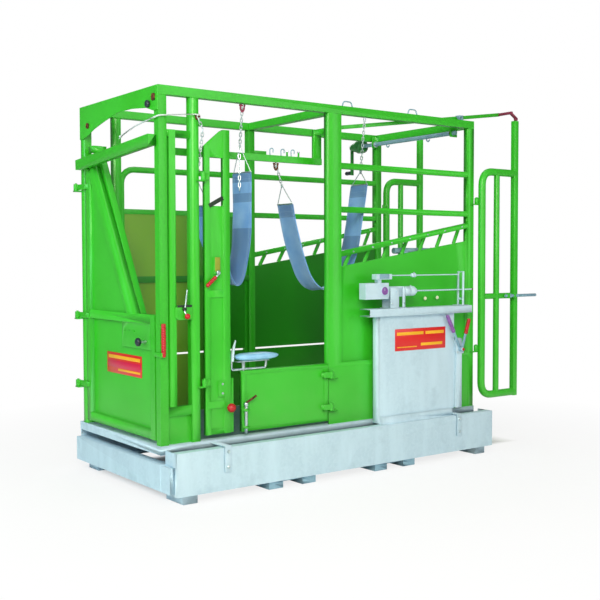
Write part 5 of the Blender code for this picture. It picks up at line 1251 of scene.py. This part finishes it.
BELTS = (
    Belt("front",
         ((0.334, -0.385, 1.640), (0.367, -0.385, 1.520), (0.412, -0.385, 1.410), (0.457, -0.385, 1.310),
          (0.492, -0.385, 1.220), (0.527, -0.385, 1.186), (0.562, -0.385, 1.225), (0.588, -0.385, 1.320),
          (0.610, -0.385, 1.430), (0.620, -0.385, 1.620), (0.622, -0.385, 1.845)),
         Vector((-0.120, 0.993, 0.0)).normalized(), 0.170,
         ((0.00, 0.05), (0.24, 0.725), (0.855, 0.90), (0.955, 1.00)),
         (Hanger("front_front", ((0.243, -0.527, 2.1237), (0.243, -0.527, 2.1117), (0.270, -0.527, 2.060),
                                 (0.285, -0.430, 1.790))),
          Hanger("front_rear", ((0.560, -0.485, 2.2367), (0.560, -0.485, 2.2247), (0.597, -0.400, 2.000)),
                 Coat.MAROON, 0.250))),
    Belt("rear",
         ((0.974, -0.330, 1.672), (0.994, -0.333, 1.570), (1.031, -0.338, 1.428), (1.068, -0.343, 1.318),
          (1.106, -0.348, 1.230), (1.160, -0.354, 1.168), (1.230, -0.360, 1.142), (1.310, -0.364, 1.160),
          (1.375, -0.366, 1.215), (1.420, -0.368, 1.300), (1.460, -0.370, 1.410), (1.504, -0.373, 1.630),
          (1.536, -0.375, 1.812)),
         Vector(IN), 0.165, ((0.00, 0.055), (0.70, 0.765), (0.945, 1.00)),
         (Hanger("rear_front", ((0.905, -0.330, 1.9317), (0.905, -0.330, 1.9197), (0.950, -0.330, 1.790)),
                 Coat.RUST),
          Hanger("rear_rear", ((1.487, -0.485, 2.2367), (1.487, -0.485, 2.2247), (1.540, -0.382, 1.900))))))


class OverheadGear(Assembly):
    """Winch, belly belts with their chains, pulley and pull rope."""

    skins = (("winch", Coat.BLUE_STEEL, 0.001, "winch_shaft"),
             ("winch", Coat.DEEP_GREEN, 0.002, "winch_crank"))
    wire: float = 0.0026
    link_radius: float = 0.0066
    link_stretch: float = 0.0130
    thickness: float = 0.005
    # thread: its radius and a stitch's length, how far the rows lie from the belt's edges and ends,
    # from stitch to stitch, the hems as shares of the belt's length and their stitches across it
    stitch_size: tuple[float, float] = (0.0008, 0.0052)
    stitch_insets: tuple[float, float] = (0.010, 0.018)
    stitch_margin: float = 0.010
    stitch_pitch: float = 0.0085
    hems: tuple[float, ...] = (0.030, 0.050, 0.950, 0.970)
    hem_stitches: int = 17
    winch_x: float = 2.375
    winch_z: float = 2.212
    pulley: tuple[float, float] = (0.243, 2.130)

    def dress(self) -> None:
        """Build the pieces that aren't eased copies."""
        for belt in BELTS:
            self.sling(belt)
        self.winch()
        self.wheel()
        self.rope()

    def sling(self, belt: Belt) -> None:
        """Build one belly belt with its stitching and its two chains."""
        only()
        bpy.ops.mesh.primitive_grid_add(x_subdivisions=12, y_subdivisions=120, size=1)
        for vertex in bpy.context.object.data.vertices:
            vertex.co = at(belt.spot((vertex.co.y + 0.5) * belt.length, vertex.co.x)[0])
        cloth = fresh("belly_belt_" + belt.name)
        modify(cloth, "SOLIDIFY", thickness=self.thickness, offset=0.0)
        modify(cloth, "BEVEL", width=0.0012, segments=2, limit_method="ANGLE", angle_limit=ROUND_CORNER)
        self.fit(cloth, belt.body, Webbing("webbing_" + belt.name, "#5C98E0", "#90C0F0", 0.62, 0.0, 0.0,
                                           belt.width, belt.length, belt.sewn_and_shaded_bands), "belly_sling_" + belt.name)
        seams = self.stitches(belt)
        ends = ((belt.line[0], belt.line[1]), (belt.line[-1], belt.line[-2]))
        chains = [self.chain(belt, hanger, *end) for hanger, end in zip(belt.hangers, ends)]

    def stitches(self, belt: Belt) -> Piece:
        """Rows of thread along both edges of the belt and across its hems, as one piece."""
        only()
        radius, length = self.stitch_size
        bpy.ops.mesh.primitive_cylinder_add(vertices=6, radius=radius, depth=length)
        stitch = fresh("stitch")
        spots = []
        for edge in (-0.5, 0.5):
            for inset in self.stitch_insets:
                run = self.stitch_margin
                while run < belt.length - self.stitch_margin:
                    spots.append((run, edge - math.copysign(inset / belt.width, edge), None))
                    run += self.stitch_pitch
        spots += [(share * belt.length, -0.44 + 0.055 * k, belt.across)
                  for share in self.hems for k in range(self.hem_stitches)]
        marks = []
        for run, offset, lie in spots:
            for lift in (-self.thickness / 2 - 0.0002, self.thickness / 2 + 0.0002):
                place, way = belt.spot(run, offset, lift)
                marks.append(facing(at(place), lie or way))
        seams = joined("belt_stitches_" + belt.name, stamped(stitch, marks))
        return self.fit(seams, belt.body, Coat.THREAD, angle=70)

    def chain(self, belt: Belt, hanger: Hanger, end: Vector, after: Vector) -> Piece:
        """One chain of welded links with its forked wire and the bar through the belt's end.

        Args:
            belt: the belt.
            hanger: where the chain hangs and forks.
            end: the belt's end.
            after: the next point of the belt's line.

        Returns:
            The chain.
        """
        path = [Vector(p) for p in hanger.points]
        total = length_of(path)
        pitch = 2 * self.link_radius + self.link_stretch - 2 * self.wire
        count = max(2, round((total - 0.006) / pitch))
        link = hoop("link", PLAN, UP, self.link_radius, self.wire, self.link_stretch, (16, 6))
        # each link is turned a quarter against the one before, first the spare ones, which hang free
        upright = Matrix.Rotation(math.pi / 2, 4, "X")
        marks = [facing(at(path[-1] + Vector((-0.004, 0.0, -0.016 - pitch * k))), (0, 0, -1),
                        90 * (k % 2) + 35) @ upright for k in range(round(hanger.spare / pitch))]
        for k in range(count):
            place, way = along(path, 0.006 + (total - 0.004) / count * (k + 0.5))
            marks.append(facing(at(place), way, 90 * (k % 2) + 20) @ upright)
        parts = stamped(link, marks)
        inward = (after - end).normalized()
        bar = end - inward * 0.0045
        half = belt.across * (belt.width / 2 - 0.006)
        fork = path[-1] + Vector((0, 0, 0.002))
        for side in (-0.96, 0.96):
            hook = rounded([fork, bar + half * side - inward * 0.006, bar + half * side], 0.005, 3)
            parts.append(pipe("fork", hook, 0.0028, 3))
        parts.append(barrel("cross", bar - half * 1.05, bar + half * 1.05, 0.0042, 12))
        parts.append(hoop("ring", fork - Vector((0, 0, 0.003)), REARWARD, 0.009, 0.0028, 0.0, (20, 6)))
        node = "sling_chain_" + hanger.name
        obj = self.fit(joined(node + "_links", parts), belt.body, Coat.BRIGHT, node, angle=60)
        if hanger.shackle:
            top = path[0]
            line = [top + Vector((x, 0, z)) for x, z in mm(-11, -8, -14, -30, 0, -52, 14, -30, 11, -8)]
            bow = rounded(line, 0.011, 5)
            irons = [pipe("bow", bow, 0.0052, 4),
                     barrel("pin", top + Vector((-0.019, 0, -0.010)), top + Vector((0.019, 0, -0.010)),
                            0.0060, 14),
                     turned("eye", top, (0, 0, -1), mm(0, 0.8, 4, 3, 8, 5, 16, 5), 14)]
            self.group("shackle_" + hanger.name, belt.body, hanger.shackle, irons)
        return obj

    def winch(self) -> None:
        """Grip on the winch's crank, bolts in its hub and collars on its shaft."""
        x, z = self.winch_x, self.winch_z
        self.lathe("crank_grip", "winch", Coat.BLACK, (x, 0.722, z - 0.197), IN,
                   mm(0, 13, 2, 15.2, 10, 15.8, 30, 14.8, 50, 16, 62, 15, 65, 12), 24)
        self.bolts("hub_bolts", "winch", [(x + 0.038 * math.cos(math.radians(angle)), 0.5695,
                                           z + 0.038 * math.sin(math.radians(angle)))
                                          for angle in (0, 120, 240)], 0.009, 0.003)
        for y, coat in ((-0.3835, Coat.RUST), (0.4235, Coat.BRIGHT)):
            self.lathe("shaft_collar", "winch", coat, (x, y, z), IN, mm(0, 21.5, 1, 23.2, 11, 23.2, 12, 21.5),
                       28)

    def wheel(self) -> None:
        """Rusty grooved pulley and its pin on the second post."""
        x, z = self.pulley
        self.lathe("pulley_wheel", "frame", Coat.RUST, (x, NEAR - 0.0003, z), OUT,
                   mm(0, 6, 2, 6, 2.4, 17, 3.6, 17.5, 5.2, 13, 6.8, 13, 8.4, 17.5, 9.4, 17, 10, 6.2,
                      25.7, 6, 26.2, 5.2), 28, "rope_pulley")

    def rope(self) -> None:
        """Pull rope from the knot on the gate's guide bar, past the post and over the pulley's pin."""
        (x, z), y = self.pulley, NEAR - 0.0170
        pin_top = z + 0.0093
        face = -0.0143
        points = [(face, -0.080, 2.046), (face, -0.171, 2.068), (face, -0.295, 2.090), (face, -0.449, 2.106),
                  (face, -0.505, 2.112), (-0.010, -0.519, 2.115), (0.004, y, 2.118), (0.040, y, 2.122),
                  (0.120, y, 2.131), (0.213, y, pin_top + 0.001), (x, y, pin_top)]
        only()
        bpy.ops.curve.primitive_nurbs_circle_add(radius=0.0048)
        strands = bpy.context.object
        for k, point in enumerate(strands.data.splines[0].points):
            reach = 1.12 if k % 2 else 0.72
            point.co = (point.co.x * reach, point.co.y * reach, 0, point.co.w)
        fine = flowing(points, 12)
        rope = pipe("pull_cord", fine, 0.003, profile=strands, twist=55)
        bpy.data.objects.remove(strands)
        self.fit(rope, "frame", Coat.CORD, "pull_rope", angle=70)
        end = Vector(points[0])
        knot = [hoop("turn", end + Vector((0, d, 0.0005 * k)), (0.15 * k, 1, 0.35 * (1 - k)), 0.0046, 0.0029,
                     0.0, (20, 8)) for k, d in enumerate((-0.0045, 0.0, 0.0045))]
        knot.append(pipe("tail", [end + Vector((0, dy, dz)) for dy, dz in mm(4, 0, 12, -4, 16, -11)],
                         0.0028, 4))
        knot = self.fit(joined("cord_knot", knot), "frame", Coat.CORD, angle=70)
        loop = self.fit(hoop("cord_loop", (x, y, z), IN, 0.0093, 0.0028), "frame", Coat.CORD, angle=70)


# ---- weigh column

class WeighColumn(Assembly):
    """Galvanised weigh column with its steelyard, poises, sign and lock levers."""

    skins = (("frame", Coat.ZINC, 0.003, "scale_column", "scale_head_channel"),
             ("steelyard", Coat.ZINC, 0.003, "steelyard_beam"), ("frame", Coat.BLUE_STEEL, 0.002, "leg_bar"))
    pivot_x: float = 1.640
    rod_z: float = 1.128
    tare_z: float = 1.230
    dial_z: float = 1.134
    marks: int = 18
    beam_y: float = -0.585
    lock: tuple[float, float] = (2.215, 0.727)
    face: float = -0.616
    sign_x: tuple[float, float] = (1.645, 2.097)
    sign_z: tuple[float, float] = (0.742, 0.884)

    def dress(self) -> None:
        """Build the pieces that aren't eased copies."""
        # each poise's name, its place from the beam's pivot, its length, its radius and its rod's height
        for row in (("main", 0.088, 0.110, 0.032, self.rod_z), ("tare", 0.160, 0.042, 0.014, self.tare_z)):
            self.poise(*row)
        self.steelyard_fittings()
        self.sign()
        self.lock_lever("left", (-0.127, 0.233), self.face - 0.0063, Coat.PURPLE)
        self.lock_lever("right", (0.069, 0.203), self.face - 0.0193, Coat.RED)
        self.column_fittings()

    def poise(self, name: str, place: float, long: float, radius: float, z: float) -> None:
        """Turned weight that slides along its rod, with its clamping screw."""
        x, y, body = self.pivot_x + place, self.beam_y, name + "_poise"
        shape = ((0, 0.60), (0.02, 0.70), (0.10, 0.97), (0.14, 1.0), (0.40, 1.0), (0.42, 0.94), (0.46, 0.94),
                 (0.48, 1.0), (0.78, 1.0), (0.82, 0.96), (0.84, 0.68), (0.97, 0.62), (1, 0.55))
        self.lathe(name + "_weight", body, Coat.ZINC, (x, y, z), REARWARD,
                   [(long * d, radius * r) for d, r in shape], 36, body)
        self.lathe(name + "_screw", body, Coat.BRIGHT, (x + long * 0.60, y, z + radius * 0.985), UP,
                   mm(0, 4, 2, 4, 2.5, 6, 6, 6, 7, 4.5), 16)

    def steelyard_fittings(self) -> None:
        """Dial with its hand, graduation collars on the rod, the rod's tip and the beam's cap."""
        x, y, z = self.pivot_x, self.beam_y, self.rod_z
        parts = [hoop("rim", (x - 0.104, y - 0.0415, self.dial_z), IN, 0.0215, 0.0040, 0.0, (32, 8)),
                 turned("dial", (x - 0.104, y - 0.0395, self.dial_z), OUT, mm(0, 19, 1, 19, 1.4, 18), 28)]
        self.group("balance_dial", "steelyard", Coat.PURPLE, parts)
        self.fit(block("dial_hand", (x - 0.1055, y - 0.0420, self.dial_z),
                       (x - 0.1025, y - 0.0405, self.dial_z + 0.016), 0.0005), "steelyard", Coat.BRIGHT)
        marks = [turned("mark", (x + 0.215 + 0.020 * k, y, z), REARWARD,
                        mm(0, 5, 0.4, 5.8, 1.2, 5.8, 1.6, 5), 12) for k in range(self.marks)]
        self.group("rod_marks", "steelyard", Coat.BLUE_STEEL, marks)
        self.lathe("rod_tip", "steelyard", Coat.RUST, (x + 0.722, y, z), REARWARD,
                   mm(0, 5.2, 1, 7.5, 6, 7.5, 8, 5), 16)
        cap = block("beam_cap", (x - 0.135, y - 0.0255, 1.2085), (x - 0.050, y + 0.0255, 1.2410), 0.004, 3)
        self.fit(cap, "steelyard", Coat.BLUE_STEEL)

    def sign(self) -> None:
        """Red plate with plain yellow bars."""
        (x0, x1), (z0, z1), face = self.sign_x, self.sign_z, self.face + 0.0157
        self.fit(block("column_sign_plate", (x0, face - 0.0020, z0), (x1, face, z1), 0.0009), "frame",
                 Coat.SIGN, "scale_sign")
        spans = ((x0 + 0.016, x0 + 0.250, z1 - 0.042, z1 - 0.022),
                 (x0 + 0.268, x1 - 0.016, z1 - 0.042, z1 - 0.022),
                 (x0 + 0.226, x1 - 0.030, z0 + 0.026, z0 + 0.044),
                 (x0 + 0.018, x0 + 0.190, z0 + 0.020, z0 + 0.026))
        bars = [block("bar", (left, face - 0.0026, low), (right, face - 0.0018, high), 0.0003)
                for left, right, low, high in spans]
        self.group("column_sign_bars", "frame", Coat.YELLOW, bars)

    def lock_lever(self, name: str, reach: tuple[float, float], low_y: float, coat: Coat) -> None:
        """One lock lever: boss, flat shank and a ribbed grip.

        Args:
            name: which lever it is.
            reach: from its pivot to its tip, along x and z.
            low_y: the face that its boss starts from.
            coat: the grip's finish.
        """
        (x, z), body = self.lock, name + "_lock"
        way = Vector((reach[0], 0, reach[1]))
        start = Vector((x, low_y - 0.005, z))
        end = way.length * 0.46
        pitch = (end - 0.014) / 6
        rib = ((0, 0.0130), (pitch * 0.66, 0.0130), (pitch * 0.74, 0.0118), (pitch * 0.92, 0.0118))
        tip = ((end, 0.0130), (way.length * 0.49, 0.0110), (way.length * 0.50, 0.0080))
        self.lathe(body + "_grip", body, coat, start + way * 0.50, way,
                   ribbed(mm(0, 10, 4, 12.8), 0.008, pitch, 6, rib, tip), 24, "lock_lever_" + name)
        parts = [turned("boss", (x, low_y, z), OUT, mm(0, 15, 1, 16, 10, 16, 11, 15), 28),
                 flat_bar("shank", start, start + way * 0.6, 0.018, 0.008)]
        self.group(body + "_shank", body, Coat.BLUE_STEEL, parts)

    def column_fittings(self) -> None:
        """Pivot nut, bearing plate bolts, corner welds and the bar's dark end cap."""
        x, z = self.lock
        nut = turned("lock_nut", (x, self.face - 0.0362, z), OUT, mm(0, 10.5, 5, 10.5, 6, 9), 6)
        self.fit(nut, "frame", Coat.RED, angle=30)
        places = [(x + dx, self.face - 0.0061, z + dz) for dx, dz in mm(-26, -20, 26, 24)]
        places += [(self.pivot_x + dx, self.beam_y - 0.0421, 1.052) for dx in (-0.045, 0.060)]
        self.bolts("column_bolts", "frame", places, 0.010, 0.004)
        self.weld("column_welds", "frame", Coat.ZINC,
                  [((1.522, -0.601, 0.332), (2.178, -0.601, 0.332)),
                   ((1.522, -0.600, 0.970), (2.178, -0.600, 0.970)),
                   ((2.181, -0.601, 0.340), (2.181, -0.601, 0.780))], 0.0026)
        self.lathe("leg_bar_cap", "frame", Coat.DARK, (2.121, NEAR + 0.075, 1.390), REARWARD,
                   mm(0, 20.5, 1, 22, 26, 22, 31, 18, 33, 12), 28)


# ---- studio

class Studio:
    """Pale floor, soft lamps, white surround and the camera."""

    camera_place: Vector = Vector((-4.0233, -5.2718, 1.3389))
    camera_way: Vector = Vector((0.5945, 0.8030, -0.0427))
    camera_roll: float = -0.136
    lens: float = 57.96
    # the floor's shadow fades out between these distances; the dark under the base is this big
    shadow_reach: tuple[float, float] = (1.6, 3.4)
    base_half: tuple[float, float] = (1.36, 0.52)
    # each lamp's name, its place, what it faces, its side, its watts and its colour
    lamps = (("key", (-4.6, -5.8, 4.0), (-0.4, -0.4, 1.0), 3.5, 430, "#FFFAE6"),
             ("left", (-7.0, -0.8, 3.2), (-1.0, 0.0, 1.0), 3.0, 170, "#D6F4FF"),
             ("fill", (2.5, -6.5, 3.0), (0.5, 0.0, 1.0), 4.0, 85, "#FFFFFF"),
             ("top", (0.0, 0.0, 6.0), (0.0, 0.0, 1.0), 3.5, 60, "#FFFFFF"),
             ("back", (3.5, 6.0, 4.0), (0.2, 0.0, 1.0), 3.5, 130, "#FFFFFF"))

    def build(self) -> None:
        """Set up the whole studio."""
        self.camera()
        self.floor()
        for row in self.lamps:
            self.lamp(*row)
        self.surround()

    def camera(self) -> None:
        """Camera at the photograph's place and angle."""
        way = self.camera_way.normalized()
        right = way.cross(Vector(UP)).normalized()
        up = right.cross(way)
        roll = math.radians(self.camera_roll)
        side = right * math.cos(roll) + up * math.sin(roll)
        head = -right * math.sin(roll) + up * math.cos(roll)
        data = bpy.data.cameras.new("camera")
        data.sensor_width = 36
        data.lens = self.lens
        camera = bpy.data.objects.new("camera", data)
        pose = Matrix((side, head, -way)).transposed().to_4x4()
        pose.translation = self.camera_place
        camera.matrix_world = pose
        bpy.context.scene.collection.objects.link(camera)
        bpy.context.scene.camera = camera

    def floor(self) -> None:
        """Wide pale floor that keeps the crush's shadow and runs out into the white surround."""
        only()
        bpy.ops.mesh.primitive_circle_add(vertices=96, radius=40, fill_type="NGON")
        floor = fresh("studio_floor")
        s = Surface("matt_white_floor")
        s.shader.inputs["Roughness"].default_value = 0.9
        fleck = s.add("TexNoise", {"Scale": 3.0, "Detail": 4.0, "Vector": s.place}).outputs["Fac"]
        tone = s.add("Mix", {"data_type": "RGBA", 0: fleck, 6: "#F2F3F4", 7: "#F8F8F8"}).outputs[2]
        s.feed(s.shader.inputs["Base Color"], tone)
        # the floor keeps the crush's shadow close by and runs out into plain white
        away = s.add("VectorMath", {"operation": "LENGTH", 0: s.place}).outputs["Value"]
        reach = s.ramp(away, *self.shadow_reach, 0.80)
        # right under the base the floor lies in the dark
        scaled = s.reckon("DIVIDE", s.place, (*self.base_half, 1), kind="VectorMath")
        scaled = s.reckon("ABSOLUTE", scaled, kind="VectorMath")
        x, y, _ = s.add("SeparateXYZ", {0: scaled}).outputs
        under = s.ramp(s.reckon("MAXIMUM", x, y), 0.95, 1.08, 0.04)
        seen = s.add("LightPath").outputs["Is Camera Ray"]
        share = s.reckon("MULTIPLY", seen, s.reckon("MULTIPLY", reach, under))
        glow = s.add("Emission", {"Color": (1, 1, 1, 1), "Strength": 1.0}).outputs[0]
        mix = s.add("MixShader", {0: share, 1: s.shader.outputs[0], 2: glow}).outputs[0]
        s.feed(s.tree.nodes["Material Output"].inputs["Surface"], mix)
        floor.data.materials.append(s.material)

    def lamp(self, name: str, place: Point, target: Point, size: float, watts: float,
             tint: str) -> None:
        """Hang one soft square lamp at a place, facing a target, with its side, power and colour."""
        data = bpy.data.lights.new(name, "AREA")
        data.color = shade(tint)[:3]
        data.size = size
        data.energy = watts
        lamp = bpy.data.objects.new(name, data)
        lamp.matrix_world = facing(place, Vector(place) - Vector(target))
        bpy.context.scene.collection.objects.link(lamp)

    def surround(self) -> None:
        """World that lights softly and shows white behind the crush."""
        world = bpy.data.worlds.new("surround")
        tree = Recipe(world)
        back = world.node_tree.nodes["Background"]
        tree.feed(back.inputs["Color"], "#FFFFFF")
        path = tree.add("LightPath").outputs
        seen = tree.reckon("MAXIMUM", path["Is Camera Ray"], path["Is Transmission Ray"])
        tree.feed(back.inputs["Strength"], tree.ramp(seen, 0.0, 1.0, 0.20))
        bpy.context.scene.world = world
        bpy.context.scene.view_settings.view_transform = "Standard"


def main() -> None:
    """Build the studio and every sub-assembly, in order."""
    logging.basicConfig(level=logging.INFO, format="%(message)s")
    Studio().build()
    for kind in (OverheadGear, WeighingBase, MainFrame, HeadGate, SideGates, RearGates, WeighColumn):
        LOG.info("building %s", kind.__name__)
        kind().build()


if __name__ == "__main__":
    main()
